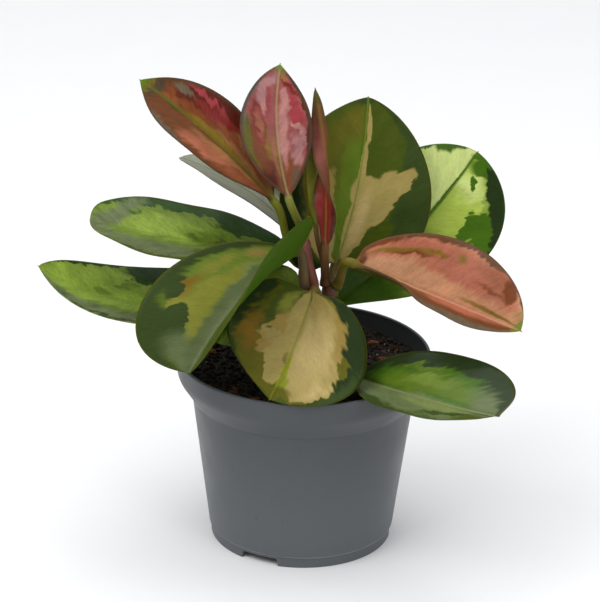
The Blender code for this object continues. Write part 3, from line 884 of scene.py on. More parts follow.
# %% The green leaves at the left
LEAVES |= {
    "leaf_left_upper": dict(
        seat=("stem_back", 134, 175), rise=20, neck=(-8, 8, 138), waist=(-54, 12, 143),
        tip=(-101, 12, 152.5), half=(32, 27.5), face=((-90, 84), (-90, 84)),
        widest=(0.55, 0.58), point=0.36, spike=0,
    ),
    "leaf_left_lower": dict(
        seat=("stem_back", 122, 215), rise=10, neck=(-13, 3, 123.5), waist=(-74, -4, 117.5),
        tip=(-124, -8, 137), half=(35, 28), face=((-90, 85), (-90, 85)),
        widest=(0.6, 0.5), base=0.5, point=0.7, lobe=(0, 18),
    ),
    "leaf_grey_back": dict(
        seat=("stem_back", 139, 116), rise=40, neck=(-4, 12, 147), waist=(-31, 22, 167),
        tip=(-60, 34, 176), half=(22, 22), face=((0, 70), (0, 70)),
    ),
    "leaf_hidden_left": dict(
        seat=("stem_front", 116, 190), rise=10, neck=(0, -8, 121), waist=(-21, -13, 118.5),
        tip=(-44, -22, 107), half=(24, 22), face=((-90, 60), (-90, 62)), widest=(0.36, 0.36),
        base=0.3,
    ),
}
print(len(LEAVES), "leaves in all")

# %% [markdown]
# ## The leaves: the surface
#
# A leaf is a closed tube as well: a round stalk that flattens into a blade. A flat sheet thickened by a
# Solidify modifier would be quicker, but it has no rib below and no thin margin, and its stalk would be
# stuck on. Along the blade the midrib is a quadratic curve through three points. Across it, each half
# leaves the midrib at its fold angle and turns on by its cup, so the section is found by adding up the
# cosine and the sine of that angle. The width along the blade is x to the power base times (1 - x) to
# the power point, which is blunt for small powers and drawn out for large ones. widest says where the
# two halves are widest, spike adds a thin tip, and lobe and shoulder draw the margin back at the neck
# and forward at the tip.

# %% Width, midrib and section
BLADE_ROWS, STALK_ROWS, COLUMNS = 110, 40, 57
MIDRIB_THICKNESS, MARGIN_THICKNESS, BLEND_END = 1.6, 0.7, 0.06
SPREAD = np.linspace(-1, 1, COLUMNS)
ACROSS = np.sign(SPREAD) * np.abs(SPREAD) ** 1.4


def outline(share, widest, base, point, spike):
    """Half width along a blade, 1 at the widest: x^base (1 - x)^point, with a thin tip."""
    peak = base / (base + point)
    along = np.clip(share / (1 - 0.02 * spike), 0, 1) ** (math.log(peak) / math.log(widest))
    width = along**base * (1 - along) ** point / (peak**base * (1 - peak) ** point)
    tail = 0.16 * spike * np.clip((1 - share) / 0.16, 0, 1) * ease((share - 0.7) / 0.2)
    return np.hypot(width, tail)


def per_half(pair):
    """The left value where a column is left of the midrib, and the right one elsewhere."""
    return np.where(ACROSS[None] > 0, pair[1], pair[0])


def midrib(leaf, share):
    """Points on the midrib and its direction: the quadratic curve through neck, waist and tip."""
    neck, waist, tip = (np.array(leaf[key], float) for key in ("neck", "waist", "tip"))
    control, t = 2 * waist - (neck + tip) / 2, share[:, None]
    middle = (1 - t) ** 2 * neck + 2 * t * (1 - t) * control + t**2 * tip
    return middle, unit((1 - t) * (control - neck) + t * (tip - control))


def added_up(values, steps):
    """Running sum of values times steps by the trapezium rule, 0 at the middle column."""
    areas = (values[:, 1:] + values[:, :-1]) / 2 * steps
    total = np.concatenate([np.zeros((len(values), 1)), np.cumsum(areas, axis=1)], axis=1)
    return total - total[:, COLUMNS // 2:COLUMNS // 2 + 1]


print("columns across a leaf:", COLUMNS)

# %% [markdown]
# Real leaves are never quite smooth. The margin rises and falls in a slow wave, and the blade has
# shallow swellings between its hidden veins. On the upper face the midrib lies in a groove, and below
# it stands out as a rounded rib. The two faces meet at the margin in a rounded edge.

# %% Which way the blade faces
def turned_frame(leaf, share):
    """Midrib points and the directions across, square to and along the blade, from where it faces."""
    middle, along = midrib(leaf, share)
    turn = np.interp(share, leaf["twist"], (0, 1))
    (heading, rise), (heading_end, rise_end) = leaf["face"]
    face = direction(heading + (heading_end - heading) * turn, rise + (rise_end - rise) * turn)
    across = unit(np.cross(along, face))
    return middle, across, np.cross(across, along), along


turning = [name for name, leaf in LEAVES.items() if leaf["face"][0] != leaf["face"][1]]
print("leaves that turn towards the tip:", len(turning))

# %% The blade
FOLD_START, LEAST_WIDTH, LOBE_SCALE = 0.04, 0.18, 2.1
WAVE_HEIGHT, SWELLING, SMALL_SWELLING = 0.55, 0.22, 0.08
GROOVE_DEPTH, GROOVE_HALF, RIB_DEPTH, RIB_HALF = 0.45, 0.75, 0.55, 1.2


def blade_grid(leaf, seed):
    """Closed sections of the blade, upper face then lower, and what the finish needs to know there."""
    draw = np.random.default_rng(seed)
    share = (1 - np.cos(np.linspace(0, math.pi, BLADE_ROWS))) / 2
    middle, across, normal, along = turned_frame(leaf, share)
    t, s = share[:, None], ACROSS[None]
    fold = np.radians(per_half([f + (g - f) * t for f, g in zip(*leaf["fold"])]))
    opened = 1 - np.exp(-np.abs(s) / FOLD_START)
    lean = np.sign(s) * (fold * opened + math.radians(leaf["cup"]) * np.abs(s))
    ends = (leaf["base"], leaf["point"], leaf["spike"])
    width = per_half([leaf["half"][k] * outline(t, leaf["widest"][k], *ends) for k in (0, 1)])
    width = np.maximum(width, LEAST_WIDTH)
    steps = np.diff(ACROSS)[None]
    out, up = added_up(np.cos(lean), steps) * width, added_up(np.sin(lean), steps) * width
    length = np.linalg.norm(np.gradient(middle, axis=0), axis=1).sum()
    phase = t * draw.uniform(1.5, 2.5) + draw.random() + 0.2 * s
    wave = WAVE_HEIGHT * s**4 * np.sin(2 * np.pi * phase)
    swell = SWELLING * lumps(out * 0.7, t * length, 7, seed)
    swell = swell + SMALL_SWELLING * lumps(out, t * length, 2.6, seed + 9)
    relief = (wave + swell * (1 - s**2)) * ease(t / 0.15) * ease((1 - t) / 0.1)
    groove = GROOVE_DEPTH * np.exp(-(out / GROOVE_HALF) ** 2) * (1 - t) ** 0.4
    back = LOBE_SCALE * per_half(leaf["lobe"]) * (1 - t) ** 3 * np.sqrt(t)
    ahead = LOBE_SCALE * per_half(leaf["shoulder"]) * t**3 * np.sqrt(1 - t)
    square = normal[:, None] * np.cos(lean)[..., None] - across[:, None] * np.sin(lean)[..., None]
    points = middle[:, None] + across[:, None] * out[..., None] + normal[:, None] * up[..., None]
    points = points + along[:, None] * ((ahead - back) * s * s)[..., None]
    thick = (MIDRIB_THICKNESS + (MARGIN_THICKNESS - MIDRIB_THICKNESS) * np.abs(s)) * (1 - 0.5 * t**4)
    rib = RIB_DEPTH * np.exp(-(out / RIB_HALF) ** 2) * (1 - 0.7 * t)
    thick = (thick * np.sqrt(np.clip(1 - s**8, 0, 1)) + rib) * np.clip((1 - t) / 0.06, 0.3, 1)
    upper, lower = (points + square * (relief - depth)[..., None] for depth in (groove, thick))
    facts = dict(t=t + 0 * s, s=s + 0 * t, lateral=out, edge=(1 - np.abs(s)) * width, length=length)
    return upper, lower, (middle, across, normal, along), facts


print("blade function ready")

# %% [markdown]
# The stalk leaves the stem in its own direction and arrives at the neck along the midrib. A cubic
# Hermite curve does both. Its foot is sunk into the shoot with a slight flare, as a stalk grows out of a
# node. Where the stalk becomes the blade, the round section is mixed into the flat one. A seat is given
# by a height and a heading on the stem's side, or by two small shifts from the middle of its end.

# %% The stalk
SIDE_SEAT, SUNK, FLARE, FLARE_LENGTH = 20, 2.4, 0.28, 3.2


def stem_at(name, height):
    """Centre and radius of a shoot at a height."""
    points = np.array(STEMS[name], float)
    return np.array([np.interp(height, points[:, 2], points[:, axis]) for axis in range(4)])


def stalk_foot(leaf):
    """Where the stalk starts and which way it sets out. Second numbers over SIDE_SEAT are heights."""
    stem, second, third = leaf["seat"]
    rise = math.radians(leaf["rise"])
    if abs(second) > SIDE_SEAT:
        centre = stem_at(stem, second)
        away = centre[3] + GAP + leaf["stalk"] * abs(math.sin(rise))
        return centre[:3] + away * direction(third, 0), direction(third, leaf["rise"])
    top = np.array(STEMS[stem][-1][:3], float)
    foot = top + np.array([second, third, GAP + leaf["stalk"] * math.cos(rise)])
    heading = np.degrees(np.arctan2(*(leaf["neck"] - foot)[1::-1]))
    return foot, direction(heading, leaf["rise"])


def stalk_path(foot, start, end, arrival):
    """Hermite curve from foot to end that leaves along start and arrives along arrival, after two
    points sunk in the shoot."""
    reach = np.linalg.norm(end - foot)
    q = np.linspace(0, 1, STALK_ROWS, endpoint=False)[:, None]
    path = (
        (2 * q**3 - 3 * q**2 + 1) * foot + (q**3 - 2 * q**2 + q) * start * reach
        + (3 * q**2 - 2 * q**3) * end + (q**3 - q**2) * arrival * reach
    )
    return np.vstack([foot - start * SUNK, foot - start * SUNK / 2, path])


print("stalk functions ready")

# %% The whole leaf
def around(upper, lower):
    """Columns of the upper face, and then those of the lower face on the way back."""
    return np.concatenate([upper, lower[:, -2:0:-1]], axis=1)


def leaf_surface(leaf, seed):
    """Rows of points from the stalk's foot to the leaf's tip, the values that its finish reads, and how
    far each stalk row is from the blade."""
    upper, lower, (middle, across, normal, along), facts = blade_grid(leaf, seed)
    arc = np.sqrt(1 - ACROSS**2)
    circle = leaf["stalk"] * np.concatenate([
        np.stack([ACROSS, arc], -1), np.stack([ACROSS, -arc], -1)[-2:0:-1],
    ])
    drop = leaf["stalk"] * 0.5
    round_part = (
        middle[:, None] + across[:, None] * circle[None, :, :1]
        + normal[:, None] * (circle[None, :, 1:] - drop)
    )
    mix = ease(facts["t"][:, :1] / BLEND_END)[..., None]
    blade = round_part * (1 - mix) + around(upper, lower) * mix
    end = middle[0] - normal[0] * drop
    path = stalk_path(*stalk_foot(leaf), end, along[0])
    way = unit(np.gradient(np.vstack([path, end]), axis=0))[:-1]
    side, rise = (turned[::-1] for turned in carried_frames(way[::-1], across[0]))
    walked = np.concatenate([[0], np.cumsum(np.linalg.norm(np.diff(path, axis=0), axis=1))])
    flare = 1 + FLARE * np.exp(-((walked / FLARE_LENGTH) ** 2))
    ring = circle[None] * flare[:, None, None]
    stalk = path[:, None] + ring[..., :1] * side[:, None] + ring[..., 1:] * rise[:, None]
    return np.concatenate([stalk, blade]), facts, walked[-1] - walked


print("leaf function ready")

# %% [markdown]
# ## The leaves: their pattern
#
# Variegation is a patchwork of cell layers, so its borders are sharp but ragged, and they run out along
# the side veins. One noise for all leaves would look the same everywhere, and these leaves are all
# different. So the pattern is painted as a painter would do it: a ground colour first, and then one
# patch over another. A patch is an ellipse given by its place on the leaf, and the leaf's own
# coordinates are shaken by noise that is stretched along the veins, so that each edge is torn in the
# direction that veins run. A leaf passes its coordinates to the material as attributes, because the
# pattern has to follow the bent blade.

# %% What the finish reads
VEIN_SLANT, SEED_SHIFT, FAR_OFF = 0.8, 40.0, 9.0


def leaf_values(facts, away, seed):
    """The arrays that the finish reads, for the stalk's rows and for both faces of the blade.
    flow is the place in mm with the veins laid straight, zones are the distances to the midrib and to
    the margin and whether the point is below, and place is how far along and across the blade it is,
    and 1 on the stalk."""
    t, s, lateral, edge = (around(facts[key], facts[key]) for key in ("t", "s", "lateral", "edge"))
    below = around(0 * facts["t"], 1 + 0 * facts["t"])
    slanted = t * facts["length"] - VEIN_SLANT * np.abs(lateral)
    turn, back = around(ACROSS[None], ACROSS[None]), -away[:, None]
    stalk_flow = np.stack(np.broadcast_arrays(0.4 * back, 4 * turn, SEED_SHIFT * seed), -1)
    rows = {
        "flow": (stalk_flow, (slanted, lateral, 0 * t + SEED_SHIFT * seed)),
        "zones": ((FAR_OFF, FAR_OFF, 0), (np.abs(lateral), edge, below)),
        "place": ((0, 0, 1), (t, s, 1 - ease(t / 0.05))),
    }
    return [
        (name, np.concatenate([np.broadcast_to(stalk, stalk_flow.shape), np.stack(blade, -1)]))
        for name, (stalk, blade) in rows.items()
    ]


print("leaf attributes ready")

# %% The group that shakes a leaf's coordinates
def flow_group():
    """Place plus noise times ragged: teeth a few millimetres long, on borders that wander slowly."""
    tree, given, results = new_group(
        "leaf_flow", {"Vector": "flow place", "Float": "ragged"},
        {"Vector": "place", "Float": "streak fine cloud spots"},
    )
    flow = given["flow"]
    streak = noise(flow, 0.30, 2.5, 0.5, stretch=(1.4, 0.5, 1))
    fine = noise(flow, 1.1, 3, 0.6, stretch=(1.5, 0.5, 1))
    cloud, spots = noise(flow, 0.11, 3, 0.5), noise(flow, 1.5, 2, 0.5)
    wander = noise(flow, 0.14, 2, 0.5, stretch=(1, -1, 3))
    along = (cloud - 0.5) * 0.24 + (fine - 0.5) * 0.03
    across = (streak - 0.5) * 0.3 + (wander - 0.5) * 0.5
    across = across * step(abs(split(given["place"])[1]), 0.0, 0.5, 0.2, 1.0)
    shake = behind("CombineXYZ", {0: along, 1: across})
    shake = behind("VectorMath", {0: shake, "Scale": given["ragged"]}, operation="SCALE")
    place = vector("ADD", given["place"], shake)
    give(results, place=place, streak=streak, fine=fine, cloud=cloud, spots=spots)
    return tree


LEAF_FLOW = flow_group()
print("flow group:", len(LEAF_FLOW.nodes), "nodes")

# %% The group that paints one patch
def patch_group():
    """Paint covers colour where the distance from centre, turned and divided by size, is under 1."""
    tree, given, results = new_group(
        "leaf_patch", {"Color": "colour paint", "Vector": "place centre size", "Float": "turn soft"},
        {"Color": "colour"},
    )
    away = vector("SUBTRACT", given["place"], given["centre"])
    away = behind("VectorRotate", {"Vector": away, "Angle": given["turn"]}, rotation_type="Z_AXIS")
    away = vector("MULTIPLY", vector("DIVIDE", away, given["size"]), (1, 1, 0))
    reach = vector("LENGTH", away, output=1)
    cover = step(reach, 1.0 - given["soft"], given["soft"] + 1.0, 1.0, 0.0)
    give(results, colour=blend(cover, given["colour"], given["paint"]))
    return tree


LEAF_PATCH = patch_group()
print("patch group:", len(LEAF_PATCH.nodes), "nodes")

# %% The group that finishes a leaf
def finish_group():
    """The painted colour times a mottled grey, and then spots, midrib, tip, margin, underside and stalk
    laid over it by their shares. The height is noise along the veins, and calmer on the stalk."""
    tree, given, results = new_group(
        "leaf_finish", {
            "Color": "colour rib edge tip under stalk", "Vector": "zones place",
            "Float": "streak fine cloud spots mottle rib_width rib_share edge_width tip_start under_share",
        }, {"Color": "colour", "Float": "roughness height"},
    )
    to_rib, to_edge, below = split(given["zones"])
    along, _, on_stalk = split(given["place"])
    streak, fine, cloud, spots = (given[label] for label in ("streak", "fine", "cloud", "spots"))
    shade = (fine + cloud + streak * 0.6 - 1.3) * given["mottle"] + 1.0
    grey = behind("CombineColor", {0: shade, 1: shade, 2: shade})
    rib = step(to_rib / given["rib_width"], 0.4, 1.2, 1.0, 0.0)
    tip = step((streak - 0.5) * 0.12 + along - given["tip_start"], -0.03, 0.04)
    edge = step(to_edge / given["edge_width"], 0.5, 1.3, 0.75, 0.0)
    colour = blend(1.0, given["colour"], grey, "MULTIPLY")
    for share, paint in (
        (step(spots, 0.66, 0.76) * given["mottle"], "under"), (rib * given["rib_share"], "rib"),
        (tip, "tip"), (edge * (1.0 - tip), "edge"), (below * given["under_share"], "under"),
    ):
        colour = blend(share, colour, given[paint])
    stalk = blend(step(cloud, 0.35, 0.65, 0.0, 0.3), given["stalk"], given["rib"])
    give(
        results, colour=blend(on_stalk, colour, stalk), roughness=fine * 0.2 + 0.32 + below * 0.15,
        height=(fine * 0.5 + streak + spots * 0.15) * step(on_stalk, 0.0, 1.0, 1.0, 0.12),
    )
    return tree


LEAF_FINISH = finish_group()
print("finish group:", len(LEAF_FINISH.nodes), "nodes")

# %% [markdown]
# Each leaf has its own ground, lines and patches, and the paints have names, so that leaves of one plant
# share them. The tables are written as text, with a comma between rows. A paint's row is its name and its
# red, green and blue in thousandths. A patch's row is its paint, then along, across, half length and half
# width in hundredths, and, where they aren't the usual ones, its turn in degrees and its softness in
# hundredths. Along runs from 0 at the neck to 100 at the tip, and across from -100 at the left margin to
# 100 at the right. Later patches lie on top.

# %% Paints
def table(text):
    """Rows of a table that is written as text: a name, and then its numbers."""
    return [(name, *map(float, numbers)) for name, *numbers in map(str.split, text.split(","))]


# Five of these paints are painted sheen, not leaf colour: the grey, green-grey, pale grey, whitish green
# and grey-mauve reflections that waxy leaves show when seen at a low angle.
PAINTS = table("""
    cream 320 250 75, buff 450 340 135, sand 260 190 45, tan 300 205 50, straw 215 220 28,
    lemon 220 250 13, bright 205 295 36, lime 360 470 70, glow 560 650 220, leaf 130 195 20,
    grass 90 145 8, fern 50 120 5, moss 52 74 5, olive 105 98 7, pine 20 56 5, bottle 33 55 10,
    dark 16 31 6, ash 115 145 58, silver 180 220 70, mist 250 260 190, peach 460 225 115, clay 270 120 45,
    salmon 300 100 50, pink 370 115 65, orchid 280 70 65, rose 290 40 48, blush 450 200 175,
    mauve 370 170 165, crimson 180 20 16, blood 85 13 6, brick 200 60 22, umber 125 42 14, rust 160 42 10,
    khaki 190 110 10, celery 330 300 130, plum 60 40 20, drab 110 85 50, pewter 180 150 135,
    cocoa 120 55 25
""")
PAINTS = {name: (red / 1000, green / 1000, blue / 1000) for name, red, green, blue in PAINTS}
GREEN = dict(
    ground="moss", rib="grass", rib_width=0.7, rib_share=0.7, edge="olive", edge_width=0.6, tip="grass",
    tip_start=1.2, under="grass", under_share=0.55, stalk="cocoa", mottle=0.45, ragged=0.8, relief=1.0,
    sheen=0.1,
)
PINK = GREEN | dict(
    ground="brick", rib="khaki", edge="plum", edge_width=1.1, tip="leaf", tip_start=0.93, under="drab",
    stalk="olive", mottle=0.7,
)
LOOKS, PATCHES = {}, {}
print(len(PAINTS), "paints")

# %% Looks of the young leaves
LOOKS["leaf_pink_left"] = PINK | dict(
    ground="umber", rib="olive", rib_width=1.3, edge_width=1.6, tip="grass", stalk="straw",
)
PATCHES["leaf_pink_left"] = """
    olive 1 0 6 120 0 50, brick 26 -50 20 40, clay 20 45 20 50, salmon 46 -52 16 28 12 35,
    pink 52 -60 7 12 10 90, clay 35 -22 20 12 3, brick 17 15 17 30 0 50, clay 30 14 16 13 40 50,
    blood 56 68 22 46 15 25, crimson 50 44 20 10 35, crimson 46 62 12 8 40, rose 62 76 16 6 45,
    brick 40 36 10 8 40 50, rust 62 22 14 14 5, khaki 42 8 20 10 4, khaki 56 6 8 10, brick 76 14 7 14,
    rust 82 40 25 3 80, drab 76 65 20 4.5 75 30, drab 70 -90 12 12, bottle 75 -4 7 6, plum 89 30 4.5 90
"""
LOOKS["leaf_pink_centre"] = PINK | dict(
    ground="orchid", rib="celery", rib_width=0.65, rib_share=0.55, edge_width=2.0, stalk="straw",
    sheen=0.35,
)
# The grey-mauve patch at the left margin is a painted sheen.
PATCHES["leaf_pink_centre"] = """
    brick 12 0 14 110, blood 20 -62 12 34, rust 38 -60 18 34 0 30, olive 45 -85 20 13 4 30,
    khaki 42 -30 12 8, brick 52 -36 10 10 -10, crimson 57 -50 10 22 25 30, salmon 56 -48 6.5 15 25,
    rose 72 -40 12 24 15, blush 68 -40 5 12 30, mauve 79 -60 9 24 10, mauve 86 -40 4 30 0 50,
    pewter 72 -95 16 12, clay 30 -12 14 10 10 50, brick 20 25 11 34 0 50, blush 36 16 11 16 20 50,
    mauve 33 56 9 20 20, mauve 42 72 6 14 20, blush 55 18 15 14 5 50, rose 65 58 12 20 15,
    blush 50 55 3 16 25 50, blush 73 28 8 16 10, crimson 83 50 3.5 34 8, clay 88.5 30 2 30 0 50,
    blood 80 94 16 12, blood 45 98 34 12, drab 15 66 7 16
"""
LOOKS["leaf_crimson_twisted"] = PINK | dict(
    ground="umber", rib_width=0.4, tip="moss", tip_start=0.9, under="cocoa", under_share=0.4,
    stalk="cocoa",
)
PATCHES["leaf_crimson_twisted"] = """
    crimson 20 0 25 130 0 30, blood 14 75 14 20 0 50, orchid 70 40 20 60, brick 60 -50 20 40,
    cocoa 88 0 10 80, blood 3 0 4 120 0 50
"""
LOOKS["leaf_olive_narrow"] = GREEN | dict(
    ground="straw", rib="olive", edge="khaki", under="straw", under_share=0.7,
)
PATCHES["leaf_olive_narrow"] = """
    olive 50 0 50 35 0 50, grass 80 40 20 40 0 50
"""
LOOKS["leaf_salmon"] = PINK | dict(
    ground="peach", rib="peach", rib_width=0.8, edge="cocoa", edge_width=0.9, tip_start=0.965,
    under="cocoa", ragged=0.5,
)
PATCHES["leaf_salmon"] = """
    pink 50 -60 50 34 0 50, peach 30 -26 32 22 0 50, umber 4 -50 4 70 0 50, rust 14 -90 12 10 0 50,
    khaki 25 -64 17 7.5 0 60, rust 31 -58 10 4 0 80, pink 30 -80 11 8 0 50, khaki 44 -68 6 5 0 50,
    khaki 58 -70 3 7 0 80, umber 46 -98 45 7 0 50, cocoa 74 -99 30 8 0 30, pink 60 -42 20 9 5 60,
    salmon 78 -75 7 16 0 60, rust 87 -74 4.5 22 0 30, brick 79 -50 8 5 -12 80, khaki 82 -13 16 4.5 0 50,
    umber 50 60 90 60 0 20, pink 68 16 22 20 0 70, moss 10 65 25 60 0 30, drab 70 85 30 20 0 60
"""
print(len(PATCHES), "leaves have looks")

# %% Looks of the leaves at the right and in front
LOOKS["leaf_back_upright"] = GREEN | dict(rib="leaf", rib_width=0.6, ragged=0.45, sheen=0.05)
PATCHES["leaf_back_upright"] = """
    grass 32 -12 34 16 2 30, grass 62 -15 30 14 0 50, olive 60 -60 24 30 0 80, olive 85 -30 10 30 0 50,
    dark 30 -95 50 25 0 20, bottle 45 92 36 38 3 8, bottle 86 95 20 20 -8 15, bottle 99 0 3.5 130 0 30,
    cream 20 -42 26 22 -3 12, sand 48 -37 10 7 -12 30, cream 26 10 23 17 3 8, cream 43 30 30 13 58 8,
    cream 47 14 10 22 0 10, cream 56 60 20 5 72 12, buff 30 12 16 8 8 70, cream 62 3 14 5 0 12,
    cream 85 9 12 5.5 15 15
"""
LOOKS["leaf_right_bright"] = GREEN | dict(
    ground="bright", rib="fern", rib_width=0.8, edge="fern", under="leaf", ragged=0.55, sheen=0.12,
)
# The two whitish-green patches, one across the tip and one over most of the left half, are painted sheen.
PATCHES["leaf_right_bright"] = """
    lime 76 22 20 30 0 30, lime 82 47 6 10 0 20, glow 85 20 5 30 0 80, fern 70 54 8 10 10 10,
    fern 74 64 6 10 0 12, fern 72 90 13 22 0 10, fern 94 55 3.5 50 0 25, dark 88 88 12 34 10 10,
    fern 87 26 2.2 9 20 15, glow 80 -52 44 49 0 8, fern 78 -2 30 2, fern 14 0 20 140 0 30,
    fern 99 50 3 60 0 30, fern 80 -100 30 8 0 30, fern 95 -85 5 20, dark 50 100 50 7 0 20
"""
# The grey patches, the grey-green patch and the grey-green midrib of this leaf are painted sheen.
LOOKS["leaf_rim_right"] = GREEN | dict(
    ground="dark", rib="silver", rib_width=0.9, under="moss", ragged=0.9, relief=1.7, sheen=0.3,
)
PATCHES["leaf_rim_right"] = """
    fern 50 -34 44 34 0 30, grass 52 -24 36 25 0 30, leaf 45 -34 16 10 0 50, grass 66 -26 12 12 0 50,
    grass 36 -63 14 6 0 50, fern 62 -10 20 5 0 60, ash 88 -32 11 30 0 60, ash 50 50 60 56 0 12,
    silver 60 18 20 16 20 70, bottle 74 46 28 7 -62 50, bottle 35 100 40 26, moss 90 60 8 30 0 50
"""
LOOKS["leaf_front_round"] = GREEN | dict(
    ground="olive", rib="lemon", rib_width=0.6, rib_share=0.35, under="moss", ragged=0.7, sheen=0.05,
)
PATCHES["leaf_front_round"] = """
    dark 40 -102 62 35 0 10, bottle 80 -102 30 20 0 20, dark 25 100 42 28 0 25, bottle 72 100 35 14,
    moss 4 0 4 130, moss 22 48 20 20 0 50, straw 15 36 10 10 0 70, khaki 50 64 17 12 0 60,
    cream 36 -30 42 36 0 8, cream 62 -35 28 34 0 8, cream 80 -54 12 28 0 8, sand 12 -30 12 20 0 60,
    buff 50 -28 26 24 5 90, tan 30 -60 20 8 0 80, buff 80 -60 8 14 0 80, olive 52 -70 9 10 0 15,
    cream 28 10 30 18 6 10, tan 35 28 14 10 5 25, cream 52 28 13 21 0 10, tan 56 42 8 9,
    cream 72 16 15 17 0 10, lemon 72 -2 18 3, lemon 83 -10 5 5 -20, olive 95 -5 10 40 0 20,
    moss 98 0 3 110
"""
# The grey and grey-green patches near the midrib, and the grey of the midrib, are painted sheen.
LOOKS["leaf_front_folded"] = GREEN | dict(rib="ash", under="fern", under_share=0.85, ragged=0.6)
PATCHES["leaf_front_folded"] = """
    leaf 45 45 42 42 0 30, ash 50 10 46 16 0 60, silver 40 28 14 6 -16 60, straw 58 42 25 20 6 25,
    straw 71 58 9 17 20 10, straw 42 62 12 9 0 60, leaf 36 46 12 6 10 95, leaf 50 55 12 5 8 95,
    khaki 60 64 6 8 0 90, sand 24 58 5 15 0 60, bottle 64 76 7 10 0 12, bottle 82 52 10 16 15 10,
    straw 80 26 12 7 25 50, bottle 50 97 60 16 0 30, bottle 87 80 12 22 0 20, ash 93 25 8 40 0 60
"""
print(len(PATCHES), "leaves have looks")

# %% Looks of the leaves at the left
LOOKS["leaf_left_upper"] = GREEN | dict(ground="leaf", rib="leaf", rib_share=0.3, mottle=1.1, sheen=0.15)
# The large grey patch at the left margin and the grey band at the tip are painted sheen.
PATCHES["leaf_left_upper"] = """
    bright 62 22 24 36 0 30, grass 38 8 12 26, pine 15 75 28 42 8 12, pine 55 100 45 26 0 12,
    leaf 44 66 5 8 0 30, moss 36 12 2 9 0 30, leaf 20 42 5 10 0 30, ash 70 -60 45 30,
    moss 50 -97 50 12 0 30, ash 94 10 8 110 10, moss 20 -60 24 50 0 30, fern 78 50 3 8 0 30
"""
LOOKS["leaf_left_lower"] = GREEN | dict(
    ground="bright", rib="leaf", rib_share=0.3, mottle=1.1, sheen=0.15,
)
# The grey patch at the left margin is a painted sheen.
PATCHES["leaf_left_lower"] = """
    pine 30 80 30 36 0 10, pine 46 80 10 30 20 12, pine 72 102 30 13 0 15, leaf 57.5 38 3 10,
    leaf 68 12 3.5 10, leaf 12 30 16 50 0 30, leaf 62 -45 14 14 0 50, ash 65 -75 40 28,
    bottle 64 -87 20 6 0 30, moss 20 -60 24 60 0 30
"""
# This leaf is painted in sheen colours all over: its pale grey, above and below, is a painted reflection
# of a leaf seen nearly edge-on.
LOOKS["leaf_grey_back"] = GREEN | dict(
    ground="mist", rib="ash", under="mist", under_share=0.9, stalk="olive",
)
PATCHES["leaf_grey_back"] = """
    ash 40 80 40 20
"""
LOOKS["leaf_hidden_left"] = GREEN | dict(ground="leaf", mottle=0.9)
PATCHES["leaf_hidden_left"] = """
    bright 30 50 35 45 0 30, pine 5 20 5 30 0 20
"""
print(len(PATCHES), "leaves have looks")

# %% [markdown]
# The finish of a leaf is a thin wax over moist tissue: a little light passes under the surface, and a
# weak clear coat gives the soft highlights. Relief is how deep the veins are printed.

# %% Leaf material
VEIN_RELIEF, USUAL_TURN, USUAL_SOFTNESS = 0.0003, 0, 40


def leaf_material(name, look, patches):
    """Shake the coordinates, lay the ground, paint the patches in turn and finish the leaf."""
    made, tree, shader = new_material(
        name, IOR=1.45, Subsurface_Weight=0.05, Subsurface_Radius=(0.0012, 0.0015, 0.0005),
        Coat_Weight=look["sheen"], Coat_Roughness=0.25, Specular_IOR_Level=0.06,
    )
    values = {key: PAINTS.get(value, value) for key, value in look.items()}
    values |= {
        label: add(tree, "Attribute", output="Vector", attribute_name=label)
        for label in ("flow", "zones", "place")
    }
    shaken = use_group(tree, LEAF_FLOW, values)
    colour = values["ground"]
    for paint, along, across, long, wide, *rest in table(patches):
        turn, soft = rest + [USUAL_TURN, USUAL_SOFTNESS][len(rest):]
        colour = use_group(tree, LEAF_PATCH, dict(
            colour=colour, paint=PAINTS[paint], place=shaken["place"], turn=math.radians(-turn),
            centre=(along / 100, across / 100, 0), size=(long / 100, wide / 100, 1), soft=soft / 100,
        ))["colour"]
    out = use_group(tree, LEAF_FINISH, shaken | values | {"colour": colour})
    dress(shader, *out.values(), look["relief"] * VEIN_RELIEF, 0.6)
    return made


print("leaf material ready")

# %% Grow the leaves
for seed, (name, leaf) in enumerate(LEAVES.items()):
    grid, facts, away = leaf_surface(USUAL | leaf, seed)
    mesh = grid_mesh(name, grid, leaf_values(facts, away, seed))
    blade_name = name.replace("leaf_", "blade_")
    finish = leaf_material(blade_name, LOOKS[name], PATCHES[name])
    add_piece(blade_name, mesh, finish, [name])
print(len(LEAVES), "leaves added")

# %% [markdown]
# ## Floor, light and camera
#
# The floor is a wide pale sheet with a very faint mottle. Light is soft and comes from all round, with
# a large lamp above on the left and a weaker one on the right, and a sky of two greys fills the
# shadows. A picture of a room could light it as well, but lamps are easier to move. The camera looks
# down on the plant by about 23 degrees with a long lens, and is tilted by one degree. From here on
# lengths are in metres.

# %% Floor
FLOOR_HALF = 9


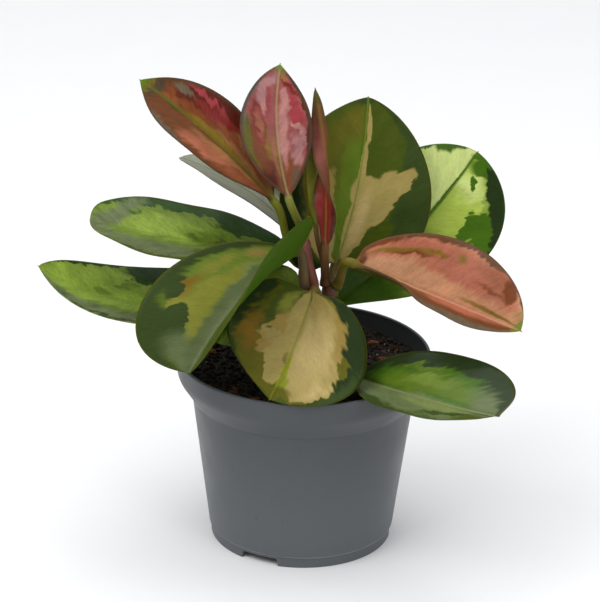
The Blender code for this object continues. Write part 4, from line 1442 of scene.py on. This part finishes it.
def add_floor():
    """A square sheet, its paint two pale greys mixed by noise."""
    mesh = bpy.data.meshes.new("floor")
    corners = [(x * FLOOR_HALF, y * FLOOR_HALF, 0) for x, y in ((-1, -1), (1, -1), (1, 1), (-1, 1))]
    mesh.from_pydata(corners, [], [(0, 1, 2, 3)])
    made, tree, shader = new_material("floor_paint", Roughness=0.9)
    place = add(tree, "TexCoord", output="Object")
    plug(shader.inputs["Base Color"], blend(noise(place, 14, 3), (0.86,) * 3, (0.88,) * 3))
    mesh.materials.append(made)
    floor = place_object("floor", mesh)


add_floor()
print("floor added")

# %% Lights and camera
LAMPS = {
    "key": ((-0.7, -0.6, 1.2), 0.9, 10.5), "side": ((0.9, -0.9, 0.7), 0.9, 4.0),
    "top": ((0.1, 0.3, 1.5), 1.2, 7.0),
}
AIM = Vector((-0.0022, 0, 0.118))
CAMERA_DISTANCE, CAMERA_RISE, CAMERA_ROLL, LENS, FILM_WIDTH = 1.5, 22.9, 0.99, 191.8, 36


def add_lamp(name, place, size, power):
    """A square lamp of a size and a power in watts, turned so that it faces the aim."""
    lamp = bpy.data.lights.new(name, "AREA")
    lamp.size, lamp.energy = size, power
    placed = place_object(name, lamp)
    placed.location = place
    placed.rotation_euler = (AIM - placed.location).to_track_quat("-Z", "Y").to_euler()


def add_camera():
    """Distance and rise from the aim, then a small roll about the line of sight."""
    rise = math.radians(CAMERA_RISE)
    camera = place_object("camera", bpy.data.cameras.new("camera"))
    camera.data.lens, camera.data.sensor_width = LENS, FILM_WIDTH
    offset = CAMERA_DISTANCE * Vector((0, -math.cos(rise), math.sin(rise)))
    turn = Matrix.Rotation(math.pi / 2 - rise, 4, "X") @ Matrix.Rotation(math.radians(CAMERA_ROLL), 4, "Z")
    camera.matrix_world = Matrix.Translation(AIM + offset) @ turn
    bpy.context.scene.camera = camera


def add_sky():
    """Dim grey and pale blue-grey, mixed by the smooth step of how far up a ray goes."""
    world = bpy.data.worlds.new("room")
    world.use_nodes = True
    upward = split(add(world.node_tree, "TexCoord", output="Generated"))[2]
    colour = blend(step(upward, 0.15, 0.8), (0.15, 0.15, 0.15), (0.86, 0.87, 0.9))
    plug(world.node_tree.nodes["Background"].inputs["Color"], colour)
    bpy.context.scene.world = world


for name, lamp in LAMPS.items():
    add_lamp(name, *lamp)
add_camera()
add_sky()
bpy.context.scene.view_settings.view_transform = "Standard"
print("lamps:", len(LAMPS))

# %% Done
print("scene built")
